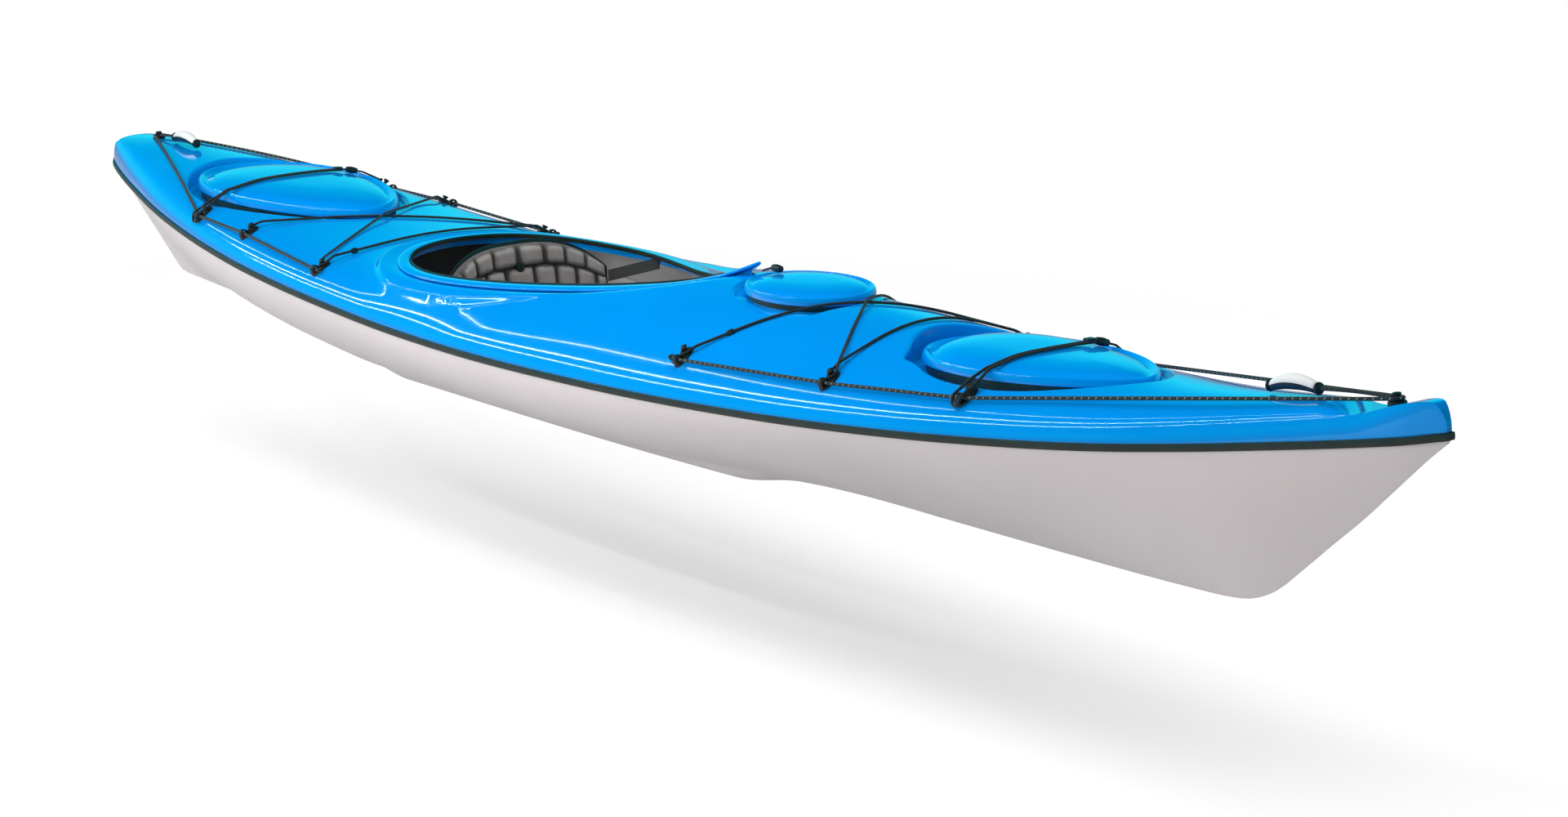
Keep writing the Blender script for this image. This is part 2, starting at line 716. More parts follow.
@dataclass
class Hatch:
    """A hatch's outline, its sloping plane and its recess."""

    from_share: float
    to_share: float
    half_width: float
    moat_width: float
    rim_drop: float
    fall: float
    crown: float
    outline: Callable[[Array], Array]
    notch: tuple[float, float, float]
    skirt: float
    lift: float = 0
    moat_depth: float = 18
    swell: float = 0
    sides: int = 24
    steps: int = 5

    def __post_init__(self) -> None:
        """Works out the outline and the plane."""
        start, end = LINES.place(self.from_share), LINES.place(self.to_share)
        self.half_length = (end - start) / 2
        self.middle = (end + start) / 2
        self.rim_height = float(LINES.deck(self.middle, 0)) - self.rim_drop
        self.tilt = math.atan(self.fall / (end - start))
        angle = full_turn(self.sides, 0.5)
        self.corners = np.stack([self.half_length * np.cos(angle), self.half_width * self.outline(angle)], 1)

    @property
    def matrix(self) -> Array:
        """The hatch plane's frame as a 4 by 4 matrix."""
        place = Matrix.Translation((self.middle, 0, self.rim_height)) @ Matrix.Rotation(self.tilt, 4, "Y")
        return np.array(place)

    def ring(self, distance: float) -> Array:
        """Returns the outline moved outwards, as a smooth dense loop in the hatch's frame."""
        return rounded_loop(offset_loop(self.corners, distance), self.steps)

    def to_world(self, points: Array) -> Array:
        """Returns points of the hatch's frame in the boat's frame."""
        return points @ self.matrix[:3, :3].T + self.matrix[:3, 3]

    def widths(self) -> Array:
        """Returns the recess's width at each point of the dense loop, with its pointed drain notch."""
        count = self.sides * self.steps
        angle = (np.arange(count) / self.steps + 0.5) / self.sides * 2 * math.pi
        at, half, reach = self.notch
        away = np.abs((angle - math.radians(at) + math.pi) % (2 * math.pi) - math.pi)
        return self.moat_width + reach * np.maximum(1 - away / math.radians(half), 0) ** 1.4

    def recess(self) -> list[Array]:
        """Returns the recess's rings in the boat's frame, from the open deck to the neck's inside."""
        radius, edge, floor_from, shown_over, closest = 9.0, 5.0, 10, 12, 10.5
        width = self.widths()
        zero, one = self.ring(0), self.ring(1)
        outward = one - zero
        rings = []
        steps = [7, 5, 3.4, 2, 1, 0.35, 0, -1, -1.5, -2.3, -3.6, -5.2, -7.2, -10]
        for step in [*steps, None, None, None]:
            if step is None:
                inner = {14: 4.0, 15: -7.0, 16: -12.0}[len(rings)]
                distance = np.minimum(inner, width - closest)
                flat = True
            else:
                distance, flat = width + step, False
            plan = zero + outward * distance[:, None]
            world = self.to_world(at_height(plan, 0))
            deck = LINES.deck(world[:, 0], world[:, 1])
            plane = world[:, 2] - self.moat_depth
            show = eased(np.clip((deck - plane - 1) / shown_over, 0, 1))
            if flat or step <= -floor_from:
                height = np.minimum(deck, plane)
            elif step >= 0:
                drop = edge * (1 - math.sqrt(max(1 - max(edge - step, 0) ** 2 / edge**2, 0)))
                height = deck - drop * show
            else:
                arc = radius * (1 - math.sqrt(1 - min((floor_from + step) / radius, 1) ** 2))
                height = np.minimum(deck - edge * show, plane + arc)
            rings.append(at_height(world[:, :2], height))
        return rings


def round_outline(angle: Array) -> Array:
    """Returns the shares across of an oval."""
    return np.sin(angle)


def egg_outline(angle: Array) -> Array:
    """Returns the shares across of an outline that is wider aft."""
    return np.sin(angle) * (1 - 0.16 * np.cos(angle))


def drop_outline(angle: Array) -> Array:
    """Returns the shares across of a drop whose point is forward."""
    return 1.07 * np.sin(angle) * ((1 - np.cos(angle)) / 2) ** 0.18


HATCHES = {
    "bow": Hatch(0.7258, 0.8501, 138, 16, 25.4, -15, 28, drop_outline, (222, 10, 13), -1.5, 2, 13, 11),
    "day": Hatch(0.6044, 0.6672, 100, 22, -0.9, 6, 19, round_outline, (322, 12, 10), 4, -4),
    "stern": Hatch(0.1194, 0.274, 161, 20, 20.3, 22, 36, egg_outline, (262, 9, 14), -1),
}


class Cockpit:
    """The cockpit's loops and the height of its rim."""

    sides: Rows = [
        [0, 0], [0.006, 0.22], [0.022, 0.42], [0.05, 0.61], [0.09, 0.77], [0.14, 0.89], [0.2, 0.97],
        [0.27, 1], [0.35, 0.985], [0.43, 0.93], [0.51, 0.845], [0.59, 0.735], [0.67, 0.61],
        [0.75, 0.475], [0.83, 0.335], [0.91, 0.185], [0.965, 0.075], [1, 0],
    ]
    rim = SmoothCurve([
        [0, 0.311], [0.12, 0.296], [0.233, 0.32], [0.446, 0.441], [0.652, 0.574], [0.74, 0.658],
        [0.83, 0.776], [0.92, 0.977], [1, 1.252],
    ])
    overhang = 16.0
    lip = 5.0
    droop = 3.0
    steps = 5

    def __init__(self) -> None:
        """Places the loops along the boat."""
        self.rear, self.tip = LINES.place(0.3431), LINES.place(0.6007)
        self.outer = self.loop(self.rear, self.tip, 223)
        self.opening = self.loop(LINES.place(0.3499), LINES.place(0.5735), 199)

    def loop(self, rear: float, front: float, half_width: float) -> Array:
        """Returns an anticlockwise loop of the cockpit's outline between two places."""
        port = [(rear + (front - rear) * along, half_width * across) for along, across in self.sides]
        starboard = [(x, -y) for x, y in port[1:-1][::-1]]
        return np.array((port + starboard)[::-1])

    def rim_height(self, x: Numbers) -> Array:
        """Returns the height of the rim's top at places along the boat."""
        share = LINES.share(x)
        along = (x - self.rear) / (self.tip - self.rear)
        return LINES.seam(share) + LINES.edge_rise * EDGE_RISE(share) + LINES.crown * self.rim(along)

    def dense(self, corners: Array, distance: float = 0) -> Array:
        """Returns a loop moved outwards and made smooth."""
        moved = offset_loop(corners, distance) if distance else corners
        return rounded_loop(moved, self.steps)


COCKPIT = Cockpit()


@dataclass(frozen=True)
class Flare:
    """The deck's swell to the underside of the coaming's lip, and its raised, rounded bow end."""

    under_lip: float = 9
    slope: float = 0.1
    rise_reach: float = 85
    rise_share: float = 0.8
    soft: float = 9
    fade_from: float = 300
    fade_to: float = 390
    tip_from: float = 1978
    tip_length: float = 105
    tip_rise: float = 0.38
    tip_radius: float = 28
    limit_rise: float = 30
    step_length: float = 260
    step_at: float = 38
    step_width: float = 14
    step_height: float = 7
    step_to: float = 160

    def away(self, x: Array, y: Array) -> Array:
        """Returns the distance outside the coaming's outline, zero within it."""
        loop = COCKPIT.dense(COCKPIT.outer)
        points = np.column_stack([np.ravel(x), np.ravel(y)])
        distance = np.full(len(points), 1e3)
        near = (points[:, 0] > loop[:, 0].min() - 90) & (points[:, 0] < loop[:, 0].max() + 90)
        if near.any():
            start, step = loop, np.roll(loop, -1, axis=0) - loop
            apart = points[near, None] - start[None]
            share = np.clip((apart * step[None]).sum(2) / (step * step).sum(1)[None], 0, 1)
            gap = np.sqrt(((apart - step[None] * share[..., None]) ** 2).sum(2)).min(1)
            distance[near] = np.where(inside(points[near], loop), 0, gap)
        return distance.reshape(np.shape(x))

    def height(self, x: Array, y: Array) -> Array:
        """Returns the height of the moulded deck with its swell round the cockpit."""
        x, y = np.broadcast_arrays(np.asarray(x, float), np.asarray(y, float))
        deck = LINES.deck(x, y)
        away = self.away(x, y)
        target = COCKPIT.rim_height(np.clip(x, COCKPIT.rear, COCKPIT.tip)) - self.under_lip
        reach = np.clip(1 - away / self.rise_reach, 0, 1) ** 2.2
        fade = np.clip((self.fade_to - x) / (self.fade_to - self.fade_from), 0, 1)
        raised = deck + np.maximum(target - deck, 0) * self.rise_share * reach * fade
        step = np.clip((self.step_at - away) / self.step_width + 0.5, 0, 1)
        end = np.clip((self.step_to - x) / self.step_length, 0, 1)
        raised = raised + self.step_height * eased(step) * eased(end)
        free = self.limit_rise * (away / self.rise_reach) ** 3
        limit = np.where(away < self.rise_reach, target + self.slope * away + free, 1e4)
        near = np.maximum(self.soft - np.abs(raised - limit), 0) / self.soft
        height = np.minimum(raised, limit) - near * near * self.soft / 4
        share = np.clip((x - self.tip_from) / self.tip_length, 0, 1)
        seam = LINES.seam(LINES.share(x))
        height = seam + (height - seam) * (1 + self.tip_rise * eased(share))
        into = np.clip(x - LINES.place(1.0) + self.tip_radius, 0, self.tip_radius)
        drop = self.tip_radius - np.sqrt(self.tip_radius**2 - into**2)
        return height - drop * np.clip((height - seam) / self.tip_radius, 0, 1)

    def tip_stations(self) -> Array:
        """Returns the close stations round the bow end, as shares of the length."""
        angle = np.radians([0, 20, 38, 54, 68, 80, 90])
        return LINES.share(LINES.place(1.0) - self.tip_radius * (1 - np.sin(angle)))


FLARE = Flare()


# Moulded shells


@dataclass
class Shells:
    """Hull, deck, coaming, seam strip and the strip round the cockpit's opening."""

    finishes: Finishes
    wall: float = 4
    hull_rows: int = 34
    rows_power: float = 1.6
    keel_flat: float = 50
    keel_fade: float = 4
    flat_to: float = 0.4
    thin_from: float = 4
    thin_over: float = 60
    thinnest: float = 0.08
    deck_rows: int = 67
    closest: float = 1.6
    clear: float = 5
    band: Sequence[float] = (0.86, 0.89, 0.915, 0.935, 0.952, 0.966, 0.977, 0.986, 0.993, 0.9975, 1)
    spacing: float = 12
    skirt: Sequence[float] = (2, 8, 14, 20, 26, 30, 32, 34, 36, 38, 40, 42, 44, 46.5, 52)
    skirt_to: float = 380

    def build(self) -> None:
        """Builds every piece of the shells."""
        self.hull()
        self.deck()
        self.coaming()
        self.trim()
        self.edge_strip()

    def hull(self) -> None:
        """Builds the hull as a smooth loft with an even wall."""
        shares = finer(STATIONS, 0.0052)
        t = np.linspace(0, 1, self.hull_rows)
        rows = 1 - (1 - t) ** self.rows_power
        half, seam, keel = LINES.half_beam(shares), LINES.seam(shares), LINES.keel(shares)
        flat_from = self.keel_flat / half
        is_flat = np.clip(1 - keel / self.keel_fade, 0, 1)
        across = np.broadcast_to(rows, (len(shares), len(rows)))
        ease = eased(np.clip((across - flat_from[:, None]) / (self.flat_to - flat_from[:, None]), 0, 1))
        used = across * (1 - is_flat[:, None] * (1 - np.where(across < self.flat_to, ease, 1)))
        width, depth = WIDTH_POWER(shares)[:, None], DEPTH_POWER(shares)[:, None]
        drop = np.maximum(1 - used**width, 0) ** (1 / depth)
        z = seam[:, None] - (seam - keel)[:, None] * drop
        x = np.broadcast_to(LINES.place(shares)[:, None], z.shape)
        y = across * half[:, None]
        port = np.stack([x, y, z], 2)
        ring = np.concatenate([port[:, ::-1], port[:, 1:] * (1, -1, 1)], 1)
        count = ring.shape[1]
        faces: Faces = list(grid_faces(len(shares), count))
        faces.append(tuple(range(count))[::-1])
        faces.append(tuple(range((len(shares) - 1) * count, len(shares) * count)))
        piece = make_piece("hull_skin", ring.reshape(-1, 3), faces, self.finishes.hull, 30)
        self.thicken(piece)
        hand_in(piece, ROOT_BODY, ["hull_shell"])

    def thicken(self, piece: Piece) -> None:
        """Gives a skin its wall, thinner where the ends leave no room for it.

        Args:
            piece: The skin, whose faces point outwards after this.
        """
        face_outwards(piece, 30)
        group = piece.vertex_groups.new(name="wall")
        for vertex in piece.data.vertices:
            room = float(LINES.half_beam(LINES.share(vertex.co.x / METRE)))
            share = min(max((room - self.thin_from) / self.thin_over, self.thinnest), 1)
            group.add([vertex.index], share, "REPLACE")
        solid = piece.modifiers.new("wall", "SOLIDIFY")
        solid.thickness = self.wall * METRE
        solid.offset = -1
        solid.vertex_group = group.name
        solid.use_quality_normals = False
        solid.material_offset = len(piece.data.materials) - 1
        apply_modifiers(piece)

    def coaming_foot(self) -> list[Array]:
        """Returns the deck's rings round the coaming, from the open deck to the wall."""
        rings = []
        inset = COCKPIT.overhang - self.wall / 2
        for distance in (7, 5, 3.4, 2, 1, 0, -2.2):
            rings.append(laid_on(COCKPIT.dense(COCKPIT.outer, distance - inset), FLARE.height))
        return rings

    def deck(self) -> None:
        """Builds the deck: a triangulated field, structured edge bands and hatch recesses."""
        shares = finer(STATIONS, self.spacing / LINES.length)
        tip = FLARE.tip_stations()
        shares = np.concatenate([shares[shares < tip[0] - 0.0008], tip])
        x, half = LINES.place(shares), LINES.half_beam(shares)
        inner = self.band[0]
        blocks = [hatch.recess() for hatch in HATCHES.values()] + [self.coaming_foot()]
        loops = [rings[0][:, :2] for rings in blocks]
        border = np.concatenate([np.stack([x, -half * inner], 1), np.stack([x, half * inner], 1)[::-1]])
        rows = np.linspace(-inner, inner, self.deck_rows)[1:-1]
        grid = np.stack([np.broadcast_to(x[1:-1, None], (len(x) - 2, len(rows))), half[1:-1, None] * rows], 2)
        grid = grid.reshape(-1, 2)
        ends = half[1:-1, None] * np.abs(np.diff(rows))[0]
        grid = grid[np.repeat(ends[:, 0] > self.closest, len(rows))]
        skirt = [COCKPIT.dense(COCKPIT.outer, distance) for distance in self.skirt]
        skirt = np.concatenate([ring[ring[:, 0] < self.skirt_to] for ring in skirt])
        apart = FLARE.away(grid[:, 0], grid[:, 1]) > self.skirt[-1] + 5
        grid = np.concatenate([grid[apart | (grid[:, 0] > self.skirt_to)], skirt])
        for loop in loops:
            near = (grid[:, 0] > loop[:, 0].min() - 9) & (grid[:, 0] < loop[:, 0].max() + 9)
            away = np.full(len(grid), 1e9)
            away[near] = np.sqrt(((grid[near, None] - loop[None]) ** 2).sum(2)).min(1)
            grid = grid[~(inside(grid, loop) | (away < self.clear))]
        corners = [border, *loops]
        edges, start = [], 0
        for loop in corners:
            edges += [(start + i, start + (i + 1) % len(loop)) for i in range(len(loop))]
            start += len(loop)
        plan = np.concatenate([*corners, grid])
        found = delaunay_2d_cdt([Vector(p) for p in plan.tolist()], edges, [], 0, 1e-5)
        flat, triangles = np.array([tuple(v) for v in found[0]]), np.array([tuple(f) for f in found[2]])
        centre = flat[triangles].mean(1)
        keep = inside(centre, border)
        for loop in loops:
            keep &= ~inside(centre, loop)
        triangles = triangles[keep]
        points = [laid_on(flat, FLARE.height)]
        source = {old: new for new, olds in enumerate(found[3]) for old in olds}
        faces: Faces = [tuple(t) for t in triangles]
        total = len(flat)
        start = len(border)
        for rings in blocks:
            count = len(rings[0])
            outer = [source[start + i] for i in range(count)]
            for new, old in enumerate(outer):
                points[0][old, 2] = rings[0][new, 2]
            start += count
            numbers = [outer]
            for ring in rings[1:]:
                numbers.append(list(range(total, total + count)))
                points.append(ring)
                total += count
            for above, below in zip(numbers, numbers[1:]):
                faces += strip_faces(above, below, True)
        sides = []
        for side, line in ((-1, range(len(x))), (1, range(2 * len(x) - 1, len(x) - 1, -1))):
            numbers = [[source[i] for i in line]]
            for share in self.band[1:]:
                y = side * half * share
                points.append(np.column_stack([x, y, FLARE.height(x, y)]))
                numbers.append(list(range(total, total + len(x))))
                total += len(x)
            for above, below in zip(numbers, numbers[1:]):
                faces += strip_faces(above, below)
            sides.append(numbers)
        for end in (0, -1):
            faces.append([line[end] for line in [*sides[0][::-1], *sides[1]]])
        piece = make_piece("deck_skin", np.concatenate(points), faces, self.finishes.deck, 50)
        work = bmesh.new()
        work.from_mesh(piece.data)
        bmesh.ops.delete(work, geom=[v for v in work.verts if not v.link_faces], context="VERTS")
        work.to_mesh(piece.data)
        work.free()
        piece.data.materials.append(self.finishes.lining)
        self.thicken(piece)
        hand_in(piece, ROOT_BODY, ["deck_shell"])

    def coaming(self) -> None:
        """Builds the coaming's wall and lip, with a visor in front."""
        lip, droop, wall = COCKPIT.lip, COCKPIT.droop, self.wall
        outer = COCKPIT.dense(COCKPIT.outer)
        opening = COCKPIT.dense(COCKPIT.opening)
        wall_out = COCKPIT.dense(COCKPIT.outer, -(COCKPIT.overhang - wall / 2))
        wall_in = COCKPIT.dense(COCKPIT.outer, -(COCKPIT.overhang + wall / 2))

        rim_out, rim_edge = COCKPIT.rim_height(outer[:, 0]), COCKPIT.rim_height(opening[:, 0])
        rim_wall = COCKPIT.rim_height(wall_out[:, 0])
        rim_inner = COCKPIT.rim_height(wall_in[:, 0])
        foot = FLARE.height(wall_out[:, 0], wall_out[:, 1])
        base = FLARE.height(wall_in[:, 0], wall_in[:, 1]) - 10
        rings = [at_height(wall_in, base), at_height(wall_out, np.minimum(base, foot - 2))]
        rings.append(at_height(wall_out, foot - 1))
        under = np.maximum(rim_wall - lip - droop, foot + 1)
        rings.append(at_height(wall_out, under - 1.5))
        for share, rise in ((0.08, -1.1), (0.22, -0.3), (0.5, 0.0), (0.85, 0.0)):
            plan = wall_out + (outer - wall_out) * share
            height = under + (rim_out - lip - droop - under) * share + rise
            rings.append(at_height(plan, height))
        normal = outer - wall_out
        normal /= np.linalg.norm(normal, axis=1, keepdims=True)
        middle = rim_out - droop - lip / 2
        for degrees in (-60, -25, 10, 45, 75):
            angle = math.radians(degrees)
            reach = lip / 2 * (math.cos(angle) - 1)
            rings.append(at_height(outer + normal * reach, middle + lip / 2 * math.sin(angle)))
        for share in (0.14, 0.28, 0.45, 0.65, 0.85):
            plan = outer + (opening - outer) * share
            sag = droop * max(1 - share / 0.5, 0) ** 2
            rings.append(at_height(plan, COCKPIT.rim_height(plan[:, 0]) - sag))
        inward = opening - outer
        inward /= np.linalg.norm(inward, axis=1, keepdims=True)
        for degrees in (70, 35, 0, -35, -70):
            angle = math.radians(degrees)
            plan = opening + inward * (lip / 2 * (math.cos(angle) - 1))
            rings.append(at_height(plan, rim_edge - lip / 2 + lip / 2 * math.sin(angle)))
        rings.append(at_height(opening + (wall_in - opening) * 0.5, (rim_edge + rim_inner) / 2 - lip))
        rings.append(at_height(wall_in, rim_inner - lip - 1))
        piece = ring_skin("coaming", np.array(rings), self.finishes.deck, closed=True, sharp=60)
        hand_in(piece, ROOT_BODY, ["deck_shell"])

    def trim(self) -> None:
        """Builds the rubber strip over the seam, with rounded edges."""
        shares = finer(STATIONS, 0.006)
        x, half = LINES.place(shares), LINES.half_beam(shares)
        loop = np.concatenate([np.stack([x, -half], 1), np.stack([x, half], 1)[::-1]])
        profile = [(0.3, -6), (2.2, -6), (3.0, -5), (3.3, -2.5), (3.4, 0), (3.3, 2.5), (3.0, 5), (2.2, 6),
                   (0.3, 6)]
        rings = []
        for out, rise in profile:
            moved = offset_loop(loop, out)
            rings.append(at_height(moved, LINES.seam(LINES.share(loop[:, 0])) + rise))
        piece = ring_skin("seam_strip", np.array(rings), self.finishes.rubber, closed=True, sharp=50)
        hand_in(piece, ROOT_BODY, ["seam_trim"])

    def edge_strip(self) -> None:
        """Builds the black strip round the cockpit's opening."""
        profile = [(-0.3, -6), (-0.3, 1.2), (-0.7, 2.0), (-1.8, 2.3), (-2.9, 2.0), (-3.4, 1.0), (-3.4, -6),
                   (-2, -7)]
        height = COCKPIT.rim_height(COCKPIT.dense(COCKPIT.opening)[:, 0])
        rings = [at_height(COCKPIT.dense(COCKPIT.opening, out), height + rise) for out, rise in profile]
        piece = ring_skin("opening_strip", np.array(rings), self.finishes.rubber, closed=True, sharp=60)
        hand_in(piece, ROOT_BODY, ["cockpit_edge_strip"])


@dataclass
class Lids:
    """The hatch lids and the neck rings that they seal on."""

    finishes: Finishes
    wall: float = 4
    land: float = 8
    trees: dict[str, BVHTree] = field(default_factory=dict)
    rise_rows: Rows = (
        (0, 1), (0.4, 0.96), (0.6, 0.87), (0.75, 0.73), (0.84, 0.58), (0.885, 0.44), (0.908, 0.4),
        (0.925, 0.43), (0.945, 0.55), (0.96, 0.585), (0.976, 0.54), (0.991, 0.4), (1, 0.18),
    )

    def build(self) -> None:
        """Builds each hatch's lid and ring."""
        for name, hatch in HATCHES.items():
            self.lid(name, hatch)
            self.neck(name, hatch)

    def lid(self, name: str, hatch: Hatch) -> None:
        """Builds a domed lid with a bead round its rim.

        Args:
            name: The hatch's name.
            hatch: Its outline.
        """
        rise = SmoothCurve(self.rise_rows)
        loop = hatch.ring(0)
        shares = [0.06, 0.14, 0.24, 0.34, 0.44, 0.54, 0.63, 0.7, 0.76, 0.8, 0.84, 0.865, 0.885, 0.897, 0.908,
                  0.917, 0.926, 0.936, 0.945, 0.953, 0.96, 0.968, 0.976, 0.984, 0.991, 0.996, 1]
        rings = []
        for s in shares:
            aft = np.clip((0.35 - s * loop[:, 0] / hatch.half_length) / 1.2, 0, 1)
            swell = hatch.swell * (1 - s**6) * eased(aft)
            rings.append(at_height(loop * s, hatch.crown * float(rise(s)) + swell))
        inset, foot, bevel = hatch.ring(-self.wall), -hatch.skirt, 0.8
        rings += [at_height(loop, bevel + foot), at_height(hatch.ring(-bevel), foot)]
        rings += [at_height(inset, foot), at_height(inset, self.land)]
        for share, height in ((0.86, self.land), (0.7, 0.867 * hatch.crown - 6), (0.1, hatch.crown - 5)):
            rings.append(at_height(loop * share, height))
        points = hatch.to_world(np.array(rings)) + (0, 0, hatch.lift)
        piece = ring_skin(f"{name}_lid", points, self.finishes.deck, sharp=35)
        self.trees[name] = BVHTree.FromPolygons([v.co / METRE for v in piece.data.vertices],
                                                [tuple(p.vertices) for p in piece.data.polygons])
        hand_in(piece, f"{name}_lid", [f"{name}_hatch_lid"])

    def neck(self, name: str, hatch: Hatch) -> None:
        """Builds the neck ring under a lid, with a rounded sealing lip.

        Args:
            name: The hatch's name.
            hatch: Its outline.
        """
        low, high = 0.3 - hatch.moat_depth, self.land - 0.3 + hatch.lift
        profile = [(-7, low), (-7, high - 1.5), (-7.6, high - 0.4), (-9.5, high), (-11.4, high - 0.4),
                   (-12, high - 1.5), (-12, low)]
        rings = [hatch.to_world(at_height(hatch.ring(out), height)) for out, height in profile]
        piece = ring_skin(f"{name}_neck", np.array(rings), self.finishes.rubber, closed=True, sharp=50)
        hand_in(piece, ROOT_BODY, [f"{name}_hatch_ring"])


# Small shapes


class Shape:
    """Points and faces of one piece, gathered from simple forms in millimetres."""

    def __init__(self) -> None:
        """Starts empty."""
        self.points: list[Array] = []
        self.faces: list[tuple[int, ...]] = []
        self.count = 0

    def add_rings(self, rings: Array, place: Matrix | None = None, closed: bool = False) -> None:
        """Adds a skin over rings of equal count, capped unless it closes on itself."""
        rows, columns, _ = rings.shape
        faces: Faces = grid_faces(rows, columns, True, closed)
        if not closed:
            faces += [range(columns)[::-1], range((rows - 1) * columns, rows * columns)]
        points = rings.reshape(-1, 3)
        if place is not None:
            matrix = np.array(place)
            points = points @ matrix[:3, :3].T + matrix[:3, 3]
        self.points.append(points)
        self.faces += [tuple(corner + self.count for corner in face) for face in faces]
        self.count += len(points)

    def add_turned(self, profile: Rows, place: Matrix | None = None, sides: int = 28) -> None:
        """Adds a form turned round Z from pairs of radius and height."""
        angle = full_turn(sides)
        circle = np.stack([np.cos(angle), np.sin(angle)], 1)
        self.add_rings(np.array([at_height(max(r, 0.02) * circle, z) for r, z in profile]), place)

    def add_block(self, low: Sequence[float], high: Sequence[float], edge: float, place: Matrix | None = None,
                  power: float = 0.32) -> None:
        """Adds a box with rounded corners and edges.

        Args:
            low: Its lower corner.
            high: Its upper corner.
            edge: How far its edges are rounded.
            place: Where it stands.
            power: Squareness of its outline, where 1 is an oval.
        """
        low_v, high_v = np.array(low, float), np.array(high, float)
        middle, half = (low_v + high_v) / 2, (high_v - low_v) / 2
        circle = squared_oval(1, 1, power, full_turn(32))
        rings = []
        for step in range(6):
            turn = step / 5 * math.pi / 2
            inset, rise = edge * (1 - math.sin(turn)), edge * (1 - math.cos(turn))
            rings.append((inset, low_v[2] + rise))
        rings += [(inset, high_v[2] + low_v[2] - z) for inset, z in rings[::-1]]
        loops = [at_height(middle[:2] + circle * (half[:2] - inset), z) for inset, z in rings]
        self.add_rings(np.array(loops), place)

    def piece(self, name: str, material: Finish, sharp: float = 40) -> Piece:
        """Returns the gathered forms as one object."""
        piece = make_piece(name, np.concatenate(self.points), self.faces, material, sharp)
        face_outwards(piece, sharp)
        return piece


# Geometry nodes


class Tree(Nodes):
    """A Geometry Nodes tree with named inputs, and a finish as the last of them."""

    def __init__(self, name: str, inputs: dict[str, str]) -> None:
        """Makes the tree and its sockets.

        Args:
            name: The tree's name.
            inputs: Kinds of the inputs between the geometry and the finish, by name.
        """
        super().__init__(bpy.data.node_groups.new(name, "GeometryNodeTree"))
        sockets = self.tree.interface
        for label, kind in {"Geometry": "Geometry", **inputs, "Finish": "Material"}.items():
            sockets.new_socket(label, in_out="INPUT", socket_type=f"NodeSocket{kind}")
        sockets.new_socket("Geometry", in_out="OUTPUT", socket_type="NodeSocketGeometry")
        self.source = self.add("NodeGroupInput").outputs

    def finish(self, last: bpy.types.Node) -> None:
        """Realizes the last node's result, gives it the finish and sends it out."""
        real = self.add("GeometryNodeRealizeInstances", Geometry=last.outputs[0])
        done = self.add("GeometryNodeSetMaterial", Geometry=real.outputs[0], Material=self.source["Finish"])
        self.add("NodeGroupOutput", Geometry=done.outputs[0])

    def run(self, mesh: bpy.types.Mesh, sharp: float, **values: object) -> Piece:
        """Runs the tree on a mesh and keeps the result as plain mesh.

        Args:
            mesh: The mesh that goes in, with the piece's name.
            sharp: Bend in degrees past which an edge stays crisp.
            **values: Input values by name.

        Returns:
            The new piece.
        """
        piece = in_scene(mesh.name, mesh)
        modifier = piece.modifiers.new("shape", "NODES")
        modifier.node_group = self.tree
        for item in self.tree.interface.items_tree:
            if item.in_out == "INPUT" and item.name in values:
                modifier[item.identifier] = values[item.name]
        apply_modifiers(piece)
        shade(piece.data, sharp)
        return piece


class Sweep(Tree):
    """Sweeps a round section along a chain of points."""

    def __init__(self) -> None:
        """Builds the tree, which stores the place round and along the section for the braid."""
        super().__init__("round_sweep", {"Radius": "Float", "Step": "Float", "Sides": "Int"})
        source = self.source
        line = self.add("GeometryNodeMeshToCurve", Mesh=source["Geometry"])
        even = self.add("GeometryNodeResampleCurve", mode="LENGTH", Curve=line.outputs[0],
                        Length=source["Step"])
        circle = self.add("GeometryNodeCurvePrimitiveCircle", Resolution=source["Sides"],
                          Radius=source["Radius"])
        along = self.capture(even, "FLOAT", self.add("GeometryNodeSplineParameter").outputs["Length"])
        around = self.capture(circle, "VECTOR", self.add("GeometryNodeInputPosition").outputs[0])
        tube = self.add("GeometryNodeCurveToMesh", Curve=along.outputs[0], Profile_Curve=around.outputs[0],
                        Fill_Caps=True)
        split = self.add("ShaderNodeSeparateXYZ", Vector=around.outputs[1]).outputs
        both = self.add("ShaderNodeCombineXYZ", X=split[0], Y=split[1], Z=along.outputs[1])
        self.finish(self.add("GeometryNodeStoreNamedAttribute", data_type="FLOAT_VECTOR", domain="POINT",
                             Geometry=tube.outputs[0], Name="sweep", Value=both.outputs[0]))

    def capture(self, before: bpy.types.Node, kind: str, value: Socket) -> bpy.types.Node:
        """Adds a node that captures a value on another node's points."""
        node = self.add("GeometryNodeCaptureAttribute", domain="POINT", Geometry=before.outputs[0])
        node.capture_items.new(kind, "value")
        self.link(value, node.inputs[1])
        return node

    def tube(self, name: str, chain: Array, radius: float, material: Finish, step: float = 4,
             sides: int = 12, looped: bool = False) -> Piece:
        """Returns a round cord along a chain of points.

        Args:
            name: The piece's name.
            chain: The cord's points in millimetres.
            radius: The cord's radius.
            material: The finish.
            step: Spacing of the sections.
            sides: Sides of a section.
            looped: Whether the chain closes on itself.

        Returns:
            The piece.
        """
        mesh = bpy.data.meshes.new(name)
        edges = [(i, i + 1) for i in range(len(chain) - 1)]
        if looped:
            edges.append((len(chain) - 1, 0))
        mesh.from_pydata((chain * METRE).tolist(), edges, [])
        return self.run(mesh, 60, Radius=radius * METRE, Step=step * METRE, Sides=sides, Finish=material)


